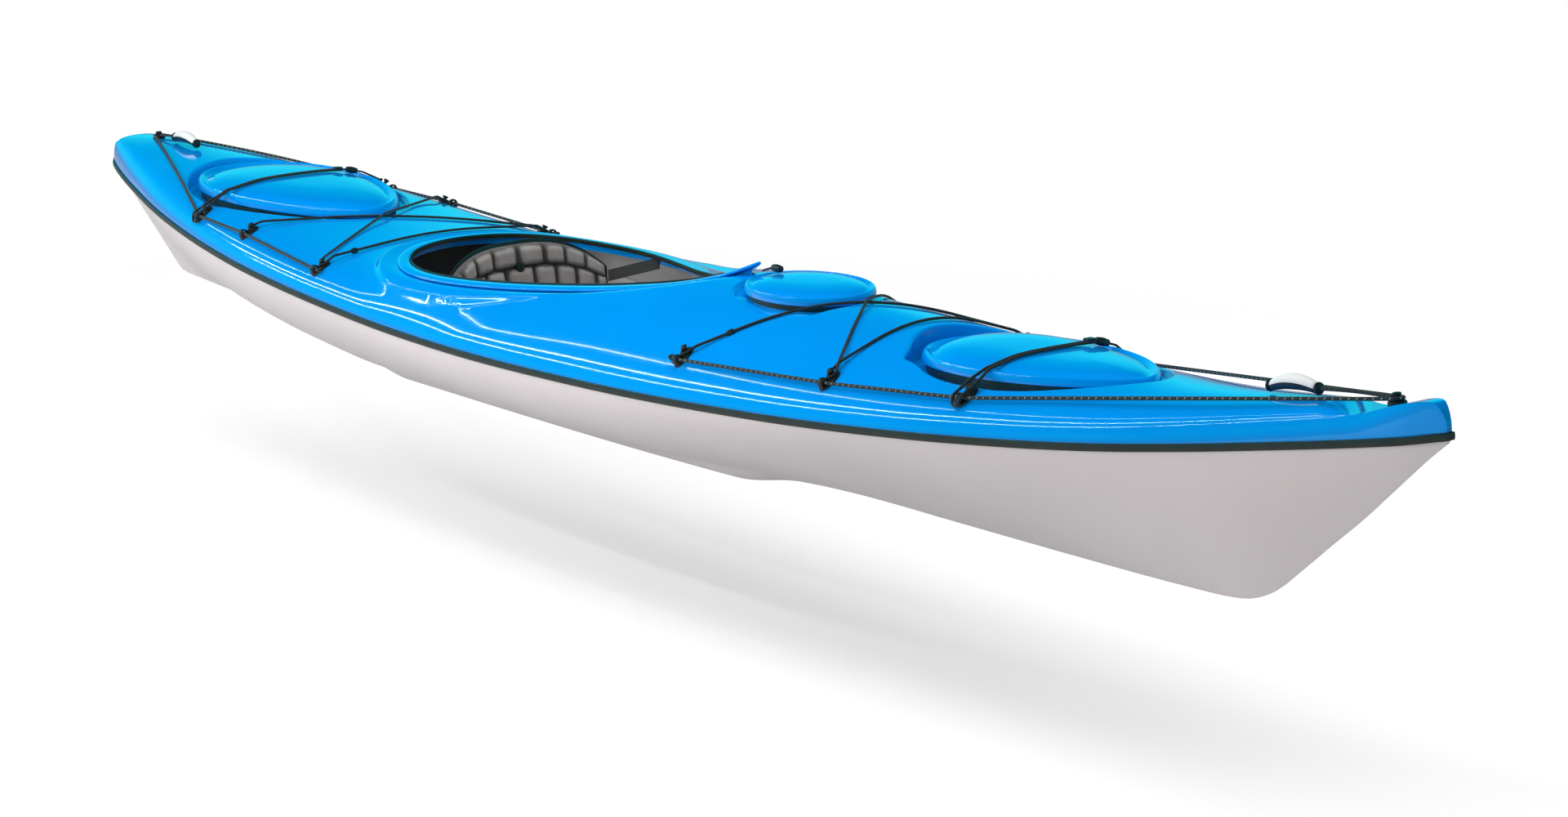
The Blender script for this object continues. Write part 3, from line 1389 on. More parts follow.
class Copies(Tree):
    """Stands copies of one form on points with their own turn."""

    def __init__(self) -> None:
        """Builds the tree."""
        super().__init__("standing_copies", {"Form": "Object"})
        form = self.add("GeometryNodeObjectInfo", Object=self.source["Form"])
        turn = self.add("GeometryNodeInputNamedAttribute", data_type="FLOAT_VECTOR", Name="turn")
        self.finish(self.add("GeometryNodeInstanceOnPoints", Points=self.source["Geometry"],
                             Instance=form.outputs["Geometry"], Rotation=turn.outputs[0]))

    def stand(self, name: str, form: Piece, places: Sequence[Matrix],
              material: Finish, sharp: float = 40) -> Piece:
        """Returns copies of a form at places given in millimetres, and removes the form itself."""
        mesh = bpy.data.meshes.new(name)
        mesh.from_pydata([tuple(place.translation * METRE) for place in places], [], [])
        turns = mesh.attributes.new("turn", "FLOAT_VECTOR", "POINT")
        for item, place in zip(turns.data, places):
            item.vector = place.to_euler()
        piece = self.run(mesh, sharp, Form=form, Finish=material)
        bpy.data.objects.remove(form)
        return piece


# Fittings


class Side(Enum):
    """The boat's two sides, with the sign of Y."""

    PORT = 1
    STARBOARD = -1


@dataclass
class Fittings:
    """Deck fittings along both sides and a bollard at each end."""

    finishes: Finishes
    half_length: float = 13
    half_width: float = 22
    base_top: float = 3.5
    arch_out: float = 11
    horn_in: float = 11.3
    post: float = 4
    cap: float = 6.5
    horn_top: float = 15
    shares: dict[str, tuple[float, float]] = field(default_factory=lambda: {
        "a": (0.1904, 0.892), "b": (0.2452, 0.852), "c": (0.3286, 0.877),
        "d": (0.6248, 0.834), "e": (0.7166, 0.818), "f": (0.7918, 0.798),
    })
    bollards: dict[str, float] = field(default_factory=lambda: {"bow": 0.9756, "stern": 0.0368})

    def __post_init__(self) -> None:
        """Places every fitting's frame on the deck."""
        self.frames: dict[tuple[Side, str], Matrix] = {}
        for key, (along, across) in self.shares.items():
            for side in Side:
                y = side.value * across * float(LINES.half_beam(along))
                self.frames[side, key] = LINES.deck_frame(LINES.place(along), y)
        self.posts = {name: LINES.deck_frame(LINES.place(share), 0) for name, share in self.bollards.items()}

    def form(self) -> Piece:
        """Returns one fitting: an oval foot, an arch over the line and a mushroom post."""
        shape = Shape()
        loop = squared_oval(self.half_length, self.half_width, 0.85, full_turn(40))
        rings = [(1, -3), (1, 1.4), (0.985, 2.3), (0.95, 3.0), (0.88, 3.4), (0.5, 3.6)]
        shape.add_rings(np.array([at_height(loop * share, z) for share, z in rings]))
        turn = np.linspace(-0.12, 1.12, 19) * math.pi
        middle = np.stack([np.zeros(19), self.arch_out - 8.2 * np.cos(turn), 3.2 + 11 * np.sin(turn)], 1)
        sections = []
        for centre, t in zip(middle, turn):
            radial = np.array([0, -math.cos(t) * 8.2, math.sin(t) * 11])
            radial /= np.linalg.norm(radial)
            around = full_turn(14)
            half = 5.6 + 1.4 * abs(math.cos(t))
            across = np.outer(np.cos(around), (half, 0, 0))
            sections.append(centre + across + np.outer(np.sin(around), radial * 1.9))
        shape.add_rings(np.array(sections))
        post, cap, top, neck = self.post, self.cap, self.horn_top, self.horn_top - 3.4
        horn = [(post + 2.4, 2.6), (post + 1, 3.9), (post, 5.6), (post - 0.3, 8), (post, neck - 0.6),
                (post + 0.8, neck), (cap - 0.6, neck + 0.3), (cap, neck + 1.2), (cap - 0.2, neck + 2.1),
                (cap - 1.2, top - 0.4), (cap - 3, top), (0, top)]
        shape.add_turned(horn, Matrix.Translation((0, -self.horn_in, 0)))
        rivet = [(1.9, 2.6), (1.9, 3.7), (1.5, 4.0), (0, 4.05)]
        for y in (-20.2, 20.2):
            shape.add_turned(rivet, Matrix.Translation((0, y * 0.9, 0)), 12)
        return shape.piece("fitting_form", self.finishes.plastic, 35)

    def build(self) -> None:
        """Stands the copies and the bollards."""
        names = [f"deck_fitting_{key}_{side.name.lower()}" for side, key in self.frames]
        places = list(self.frames.values())
        piece = Copies().stand("deck_fittings", self.form(), places, self.finishes.plastic, 35)
        hand_in(piece, ROOT_BODY, names)
        bollard = [(14, -8), (14, 1), (13.6, 2), (12.4, 2.8), (9, 3.3), (7, 4.1), (6.1, 5.6), (6, 9),
                   (6.2, 10.4), (6.8, 11), (7, 11.8), (7, 13), (6.4, 14.2), (4.6, 14.9), (0, 15)]
        for name, place in self.posts.items():
            shape = Shape()
            shape.add_turned(bollard, place, 36)
            piece = shape.piece(f"{name}_bollard", self.finishes.plastic)
            hand_in(piece, ROOT_BODY, [f"{name}_fitting"])


# Cords


@dataclass
class Stop:
    """A place that a cord passes: a window, or a post that it goes round."""

    frame: Matrix
    across: float
    level: float
    reach: float
    radius: float = 0
    turn: int = 0

    @property
    def at(self) -> Vector:
        """The stop's place."""
        return self.frame @ Vector((0, self.across, self.level))

    def plane(self, x: Numbers, y: Numbers) -> Numbers:
        """Returns the height of a plane along the deck at the stop's level."""
        origin = self.frame @ Vector((0, 0, self.level))
        normal = self.frame.to_3x3() @ Vector((0, 0, 1))
        return origin.z - ((x - origin.x) * normal.x + (y - origin.y) * normal.y) / normal.z


@dataclass
class Router:
    """Draws cords tight over the deck."""

    gap: float = 0.9
    step: float = 2
    floor: float = -339

    def rounds(self, stops: Sequence[Stop]) -> list[Array]:
        """Returns each stop's plan points, an arc where the cord goes round a post."""
        headings = []
        for stop, after in zip(stops, stops[1:]):
            ahead = after.at - stop.at
            twist = after.turn * after.radius - stop.turn * stop.radius
            headings.append(math.atan2(ahead.y, ahead.x) - math.asin(twist / math.hypot(ahead.x, ahead.y)))
        found = []
        for index, stop in enumerate(stops):
            if stop.radius == 0:
                found.append(np.array([[stop.at.x, stop.at.y]]))
                continue
            quarter = stop.turn * math.pi / 2
            before = headings[index - 1] if index else headings[0] - stop.turn * math.pi
            after = headings[index] if index < len(headings) else headings[-1] + stop.turn * math.pi
            sweep = math.fmod(after - before, 2 * math.pi)
            if sweep * stop.turn < 0:
                sweep += stop.turn * 2 * math.pi
            count = max(math.ceil(abs(sweep) / (math.pi / 12)), 1)
            angle = before - quarter + sweep * np.arange(count + 1) / count
            x, y = stop.radius * np.cos(angle), stop.radius * np.sin(angle)
            found.append(np.stack([stop.at.x + x, stop.at.y + y], 1))
        return found

    def leg(self, start: Array, end: Array, radius: float, ground: Ground, humps: Sequence[Ground],
            ends: tuple[float, float], asides: Sequence[float] | None = None) -> Array:
        """Returns a tight straight leg.

        Args:
            start: Plan place where it starts.
            end: Plan place where it ends.
            radius: The cord's radius.
            ground: Height of what lies under it.
            humps: Heights that its centre keeps over.
            ends: Its heights at both ends.
            asides: Offsets across it at which the ground is felt.

        Returns:
            Its points, as rows of x, y and z.
        """
        span = float(np.hypot(*(end - start)))
        count = math.ceil(span / self.step)
        place = span * np.arange(count + 1) / count
        along = (end - start) / span
        plan = start + np.outer(place, along)
        reach = radius + self.gap
        tops = np.full(len(place), float(self.floor))
        for aside in asides or (-radius, 0, radius):
            lower = 0 if abs(aside) > radius else reach - math.sqrt(reach**2 - aside**2)
            x, y = plan[:, 0] - along[1] * aside, plan[:, 1] + along[0] * aside
            tops = np.maximum(tops, ground(x, y) - lower)
        away = np.abs(place[:, None] - place[None])
        lift = np.where(away < reach, tops[None] + np.sqrt(np.maximum(reach**2 - away**2, 0)), self.floor)
        height = lift.max(1)
        for hump in humps:
            height = np.maximum(height, hump(plan[:, 0], plan[:, 1]))
        height[0], height[-1] = ends
        hull: list[int] = []
        for row in range(len(place)):
            while len(hull) > 1:
                a, b = hull[-2:]
                run, rise = place[b] - place[a], height[b] - height[a]
                if run * (height[row] - height[a]) < rise * (place[row] - place[a]):
                    break
                hull.pop()
            hull.append(row)
        return np.column_stack([plan[hull], height[hull]])

    def route(self, stops: Sequence[Stop], radius: float, humps: dict[int, Ground] | None = None) -> Array:
        """Returns a cord's points from stop to stop."""
        rounds = self.rounds(stops)
        route = []
        for index, (stop, plan) in enumerate(zip(stops, rounds)):
            route.append(laid_on(plan, stop.plane))
            if index == len(stops) - 1:
                break
            after = stops[index + 1]
            levels = [self.level_near(item) for item in (stop, after)]
            extra = [humps[index]] if humps and index in humps else []
            start, end = plan[-1], rounds[index + 1][0]
            ends = (float(stop.plane(*start)), float(after.plane(*end)))
            route.append(self.leg(start, end, radius, LINES.deck, [*levels, *extra], ends)[1:-1])
        return np.concatenate(route)

    def level_near(self, stop: Stop) -> Ground:
        """Returns a hump that holds a cord level near a stop."""
        def height(x: Array, y: Array) -> Array:
            """Returns the stop's plane near it, and far below elsewhere."""
            near = np.hypot(x - stop.at.x, y - stop.at.y) < stop.reach
            return np.where(near, stop.plane(x, y), self.floor)
        return height


def smoothed(points: Array, most: float = 6, rounds: int = 2) -> Array:
    """Returns a chain with its corners eased, its ends kept."""
    for _ in range(rounds):
        span = np.linalg.norm(np.diff(points, axis=0), axis=1)
        share = np.minimum(most / np.maximum(span, 1e-6), 0.25)[:, None]
        near = points[:-1] + (points[1:] - points[:-1]) * share
        far = points[1:] - (points[1:] - points[:-1]) * share
        middle = np.stack([near, far], 1).reshape(-1, 3)
        points = np.concatenate([points[:1], middle[1:-1], points[-1:]])
        most /= 2
    return points


def knot_chain(centre: Array, heading: Array, size: float) -> Array:
    """Returns a small closed knot round a place.

    Args:
        centre: The knot's middle.
        heading: The cord's direction there.
        size: The knot's outer radius.

    Returns:
        The points of its loop.
    """
    t = full_turn(48)
    own = np.stack([np.sin(3 * t) * 0.9, np.sin(t) + 2 * np.sin(2 * t), np.cos(t) - 2 * np.cos(2 * t)], 1)
    own *= size / 4.4
    turn = Vector(heading).to_track_quat("X", "Z").to_matrix()
    return own @ np.array(turn).T + centre


def frame_along(place: Array, heading: Array) -> Matrix:
    """Returns a frame at a place with its Z along a heading."""
    turn = Vector(heading).normalized().to_track_quat("Z", "Y").to_matrix().to_4x4()
    return Matrix.Translation(Vector(place)) @ turn


def node_middle(node: str) -> Array:
    """Returns the middle of a solid's box in millimetres."""
    low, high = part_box(node)
    return (np.array(low) + np.array(high)) / 2 / METRE


def heading_near(route: Array, place: Array) -> Array:
    """Returns a route's direction at its point nearest to a place."""
    middle = (route[1:] + route[:-1]) / 2
    index = int(np.argmin(np.linalg.norm(middle - place, axis=1)))
    return route[index + 1] - route[index]


def nearest_on(route: Array, place: Array) -> Array:
    """Returns the point of a route that is nearest to a place."""
    start, step = route[:-1], np.diff(route, axis=0)
    share = np.clip(((place - start) * step).sum(1) / np.maximum((step * step).sum(1), 1e-9), 0, 1)
    near = start + step * share[:, None]
    return near[int(np.argmin(np.linalg.norm(near - place, axis=1)))]


@dataclass
class Cords:
    """Perimeter lines, crossing shock cords and their beads."""

    finishes: Finishes
    fittings: Fittings
    sweep: Sweep
    line: float = 3
    line_level: float = 7.2
    line_reach: float = 14
    post_level: float = 6.5
    post_round: float = 9.5
    knot: float = 5.5
    knot_cord: float = 2.5
    knot_out: float = 19
    knot_lift: float = 0.8
    shock: float = 2.5
    shock_level: float = 6.6
    shock_reach: float = 22
    shock_gap: float = 0.5
    cross_reach: float = 9
    router: Router = field(default_factory=Router)

    def build(self) -> None:
        """Builds every deck cord."""
        self.perimeter("stern", ("c", "b", "a"), -1)
        self.perimeter("bow", ("d", "e", "f"), 1)
        self.crossing("fore", "d", "e", 1)
        self.crossing("rear", "b", "c", -1)

    def perimeter(self, name: str, keys: Sequence[str], turn: int) -> None:
        """Builds a line through three fittings a side and round a bollard, knotted at both ends.

        Args:
            name: The end that it goes round.
            keys: The fittings, from the middle of the boat to the end.
            turn: Which way it goes round the bollard.
        """
        def window(side: Side, key: str) -> Stop:
            """Returns a fitting's window as a stop."""
            place = self.fittings.frames[side, key]
            return Stop(place, self.fittings.arch_out, self.line_level, self.line_reach)

        starboard = [window(Side.STARBOARD, key) for key in keys]
        port = [window(Side.PORT, key) for key in keys][::-1]
        post = Stop(self.fittings.posts[name], 0, self.post_level, self.line_reach, self.post_round, turn)
        route = self.router.route([*starboard, post, *port], self.line)
        to_bow = -1 if name == "bow" else 1
        tails = []
        for stop, end in ((starboard[0], route[0]), (port[-1], route[-1])):
            x = end[0] + to_bow * self.knot_out
            tails.append([x, end[1], float(stop.plane(x, end[1]))])
        route = smoothed(np.concatenate([[tails[0]], route, [tails[1]]]))
        cord = self.sweep.tube(f"{name}_line", route, self.line, self.finishes.line)
        knots = []
        for label, end, inner in (("starboard", route[0], route[1]), ("port", route[-1], route[-2])):
            lift = np.array([0, 0, self.knot_lift])
            chain = knot_chain(end + lift, end - inner, self.knot)
            title = f"{name}_line_knot_{label}"
            knots.append(self.sweep.tube(title, chain, self.knot_cord, self.finishes.line, 1.6, 12, True))
        nodes = [f"{name}_perimeter_line"]
        hand_in(cord, ROOT_BODY, nodes)
        for item in knots:
            hand_in(item, ROOT_BODY, nodes)

    def crossing(self, name: str, outer: str, inner: str, turn: int) -> None:
        """Builds a shock cord that crosses between two pairs of fittings, with a bead on it.

        Args:
            name: Its place on the boat.
            outer: The pair at which it ends.
            inner: The pair that it goes round.
            turn: Which way it goes round the posts.
        """
        def horn(side: Side, key: str) -> Stop:
            """Returns a fitting's post as a stop."""
            ring = self.fittings.post + self.shock + self.shock_gap
            place = self.fittings.frames[side, key]
            return Stop(place, -self.fittings.horn_in, self.shock_level, self.shock_reach, ring, turn)

        stops = [horn(Side.STARBOARD, outer), horn(Side.PORT, inner), horn(Side.STARBOARD, inner),
                 horn(Side.PORT, outer)]
        first = self.router.route(stops[:2], self.shock)
        index = int(np.argmax(first[1:, 1] * first[:-1, 1] <= 0))
        a, b = first[index], first[index + 1]
        cross = a + (b - a) * a[1] / (a[1] - b[1])
        over = cross[2] + 2 * self.shock + self.router.gap

        def hump(x: Array, y: Array) -> Array:
            """Lifts the second diagonal over the first."""
            return np.where(np.hypot(x - cross[0], y) < self.cross_reach, over, self.router.floor)

        route = smoothed(self.router.route(stops, self.shock, {2: hump}), 4)
        cord = self.sweep.tube(f"{name}_shock", route, self.shock, self.finishes.shock, 3)
        node = f"{name}_cord_bead"
        centre = nearest_on(route, node_middle(node))
        shape = Shape()
        half = [(2.6, 7), (3.6, 6.8), (4.5, 5.6), (5, 3.4), (5.1, 0)]
        shape.add_turned(barrel(half), frame_along(centre, heading_near(route, centre)), 24)
        bead = shape.piece(f"{name}_bead", self.finishes.plastic)
        hand_in(cord, ROOT_BODY, [f"{name}_shock_cord"])
        hand_in(bead, ROOT_BODY, [node])


@dataclass
class Straps:
    """Hatch straps: a doubled shock cord to a clamp, then a thin cord with a toggle and a knot."""

    finishes: Finishes
    fittings: Fittings
    sweep: Sweep
    lids: Lids
    router: Router = field(default_factory=Router)
    radius: float = 2.5
    thin: float = 2
    spread: float = 9.5
    apart: float = 4.2
    narrowing: float = 20
    clamp_share: float = 0.5
    toggle_share: float = 0.66
    toggle_radius: float = 7
    toggle_reach: float = 13.5
    ball: float = 4.5
    bend: float = 4
    line_top: float = 3
    line_gap: float = 1.8
    foot_reach: float = 15

    def build(self) -> None:
        """Builds the three straps."""
        self.long_strap("bow", "f")
        self.long_strap("stern", "a")
        self.day_strap()

    def top(self, name: str, x: Array, y: Array) -> Array:
        """Returns the height of what lies under a strap: the deck or a lid."""
        tree = self.lids.trees[name]
        heights = np.array(LINES.deck(x, y), float).reshape(-1)
        for index, (px, py) in enumerate(zip(np.ravel(x), np.ravel(y))):
            hit = tree.ray_cast(Vector((px, py, 1000)), Vector((0, 0, -1)))[0]
            if hit is not None:
                heights[index] = max(heights[index], hit.z)
        return heights

    def toggle(self, name: str, place: Array, heading: Array, body: str, node: str) -> Piece:
        """Builds a barrel toggle on a thin cord."""
        shape = Shape()
        half = [(2.2, 13), (4.2, 12.9), (5.3, 12.2), (5.9, 11), (6.0, 9.6), (5.7, 8.8), (6.1, 8), (6.7, 5),
                (7, 0)]
        shape.add_turned(barrel(half), frame_along(place, heading), 32)
        piece = shape.piece(name, self.finishes.plastic, 50)
        return hand_in(piece, body, [node])

    def long_strap(self, name: str, key: str) -> None:
        """Builds the strap over a large hatch.

        Args:
            name: The hatch's name.
            key: The fittings between which the strap runs.
        """
        starboard = self.fittings.frames[Side.STARBOARD, key]
        port = self.fittings.frames[Side.PORT, key]
        hinge = starboard @ Vector((0, self.fittings.half_width + 1 + self.radius, 4))
        far = port @ Vector((0, -(self.fittings.horn_in + self.fittings.cap + 1 + self.ball), 7))
        crossed = starboard @ Vector((0, self.fittings.arch_out, 7.2))
        base = Stop(starboard, 0, self.fittings.base_top + self.radius + 0.5, self.foot_reach)
        toggle_y, clamp_y = far.y * self.toggle_share, far.y * self.clamp_share
        clear = self.line_top + self.radius + self.line_gap

        def over_line(x: Array, y: Array) -> Array:
            """Keeps the strap over the perimeter line."""
            away = np.minimum(np.abs(y - crossed.y), clear)
            return np.where(away < clear, crossed.z + np.sqrt(clear**2 - away**2), self.router.floor)

        def over_base(x: Array, y: Array) -> Array:
            """Keeps the strap over the fitting's foot."""
            near = np.abs(y - starboard.translation.y) < base.reach
            return np.where(near, base.plane(x, y), self.router.floor)

        def over_toggle(x: Array, y: Array) -> Array:
            """Keeps the toggle over the lid."""
            near = np.abs(y - toggle_y) < self.toggle_reach
            over = self.top(name, x, y) + self.toggle_radius + self.router.gap
            return np.where(near, over, self.router.floor)

        asides = (-self.spread, -self.apart, 0, self.apart, self.spread)
        start, end = np.array([hinge.x, hinge.y]), np.array([far.x, far.y])
        route = smoothed(self.router.leg(start, end, self.radius, lambda x, y: self.top(name, x, y),
                                         [over_line, over_base, over_toggle], (hinge.z, far.z), asides), 5)
        narrow = (starboard @ Vector((0, -self.fittings.half_width, 0))).y

        def at(y: float, side: float = 0) -> Array:
            """Returns the strap's centre, or one of its cords, at a place across the boat."""
            share = min(max((y - narrow) / self.narrowing, 0), 1)
            half = self.spread + (self.apart - self.spread) * share
            x, z = (float(np.interp(y, route[:, 1], route[:, axis])) for axis in (0, 2))
            return np.array([x + side * half, y, z])

        bend, fore = self.bend, hinge.y + self.bend
        inner = [y for y in route[:, 1] if fore < y < clamp_y]
        places = np.unique(np.concatenate([[fore], inner, [narrow, narrow + self.narrowing, clamp_y]]))
        near = [at(y, -1) for y in places[::-1]]
        turn = np.linspace(0, math.pi / 2, 6)[1:]
        corner = [at(fore, -1) + np.array([bend * (1 - math.cos(t)), -bend * math.sin(t), 0]) for t in turn]
        height = np.interp([point[1] for point in corner], route[:, 1], route[:, 2])
        corner = [np.array([point[0], point[1], z]) for point, z in zip(corner, height)]
        middle = at(fore)[0]
        other = [np.array([2 * middle - point[0], point[1], point[2]]) for point in (*near, *corner)][::-1]
        chain = np.array([*near, *corner, *other])
        cord = self.sweep.tube(f"{name}_strap_cord", chain, self.radius, self.finishes.shock, 2.5)
        ahead = at(clamp_y) - at(clamp_y - 4)
        rise = Matrix.Rotation(math.atan2(ahead[2], ahead[1]), 4, "X")
        shape = Shape()
        shape.add_block((-8.7, -9, -2.2), (8.7, 9, 6), 1.8, Matrix.Translation(Vector(at(clamp_y))) @ rise)
        clamp = shape.piece(f"{name}_strap_clamp", self.finishes.plastic, 50)
        tail = np.array([at(clamp_y), *[at(y) for y in route[:, 1] if y > clamp_y + 1]])
        thin = self.sweep.tube(f"{name}_strap_tail", tail, self.thin, self.finishes.shock, 2.5, 10)
        chain_knot = knot_chain(tail[-1], tail[-1] - tail[-2], self.ball)
        knot = self.sweep.tube(f"{name}_strap_knot", chain_knot, 1.9, self.finishes.shock, 1.4, 10, True)
        body, node = f"{name}_strap", f"{name}_hatch_strap"
        for piece in (cord, thin, knot):
            hand_in(piece, body, [node])
        hand_in(clamp, body, [node])
        toggle = self.toggle(f"{name}_toggle", at(toggle_y), at(toggle_y + 5) - at(toggle_y - 5), body,
                             f"{name}_strap_toggle")

    def day_strap(self) -> None:
        """Builds the day hatch's short strap with its toggle."""
        rear = LINES.place(HATCHES["day"].from_share)

        def top(x: float) -> float:
            """Returns the lid's height on the centreline."""
            return float(self.top("day", np.array([x]), np.array([0.0]))[0])

        middle = np.array([rear + 36, 0, top(rear + 49) + 7.5])
        start = np.array([rear - 9, 0, top(rear + 10) + self.thin + 3])
        bend, fore = middle - (13, 0, 0), middle + (16, 0, 0)
        route = smoothed(np.array([fore, bend, start]), 6)
        cord = self.sweep.tube("day_strap_cord", route, self.thin, self.finishes.shock, 2, 10)
        hand_in(cord, "day_lid", ["day_hatch_strap"])
        toggle = self.toggle("day_toggle", middle, fore - bend, "day_lid", "day_strap_toggle")


@dataclass
class Grips:
    """The carrying grips at both ends."""

    finishes: Finishes
    fittings: Fittings
    sweep: Sweep
    half_length: float = 50
    arch: float = 8
    end_radius: float = 8
    belly: float = 4
    round_from: float = 0.93
    seam: float = 0.15
    radius_line: float = 3
    shares: dict[str, tuple[float, int]] = field(
        default_factory=lambda: {"bow": (0.9251, 1), "stern": (0.0691, -1)})

    def radius(self, t: float) -> float:
        """Returns the spindle's radius at a share from its middle to its end."""
        end = 1 - max(abs(t) - self.round_from, 0) ** 2 * 60
        return (self.end_radius + self.belly * (1 - abs(t) ** 1.6)) * end

    def half(self, low: float, high: float, gap: float) -> Array:
        """Returns rings of the spindle between two angles."""
        rings = []
        for t in np.linspace(-1, 1, 31):
            angle = np.linspace(low, high, 17)
            r = self.radius(float(t))
            rise = gap + self.arch * (1 - float(t) ** 2)
            arc = [np.full(len(angle), t * self.half_length), r * np.cos(angle), r * np.sin(angle) + rise]
            rings.append(np.stack(arc, 1))
        return np.array(rings)

    def build(self) -> None:
        """Builds both grips."""
        for name, (share, toward) in self.shares.items():
            x = LINES.place(share)
            ends = [float(LINES.deck(x + step * self.half_length, 0)) for step in (-1, 1)]
            slope = math.atan2(ends[1] - ends[0], 2 * self.half_length)
            step, gap = self.half_length / 2, 0.4
            level = max(float(LINES.deck(x + s * step, 0)) - s * step * math.tan(slope) + self.radius(s / 2)
                        for s in (-1, 0, 1)) + gap
            place = Matrix.Translation((x, 0, level)) @ Matrix.Rotation(-slope, 4, "Y")
            body = f"{name}_grip"
            cap = Shape()
            cap.add_rings(self.half(0, math.pi, self.seam), place)
            piece = cap.piece(f"{name}_grip_top", self.finishes.handle, 50)
            hand_in(piece, body, [f"{name}_grip_cap"])
            core = Shape()
            core.add_rings(self.half(math.pi, 2 * math.pi, -self.seam), place)
            lying = place @ Matrix.Rotation(math.pi / 2, 4, "Y")
            knob = [(8.2, 0), (9.2, 0.7), (9.5, 2), (9.3, 4), (7.8, 5.6), (4.5, 6), (0, 6)]
            for side in (-1, 1):
                foot = side * (self.half_length + 0.2)
                core.add_turned([(r, foot + side * out) for r, out in knob], lying)
            lower = core.piece(f"{name}_grip_core", self.finishes.plastic, 50)
            hand_in(lower, body, [f"{name}_grip_cord"])
            post = self.fittings.posts[name] @ Vector((0, 0, 6.5))
            hinge = np.array(post - Vector((toward * 9.25, 0, 0)))
            start = np.array(place @ Vector((toward * (self.half_length + 5), 0, 0)))
            lift = np.array([0, 0, 2.5])
            route = np.array([hinge, hinge + (start - hinge) * 0.5 + lift, start])
            route = smoothed(route, 40, 3)
            cord = self.sweep.tube(f"{name}_grip_line", route, self.radius_line, self.finishes.shock, 3)
            hand_in(cord, body, [f"{name}_grip_cord"])


# Seat and inside


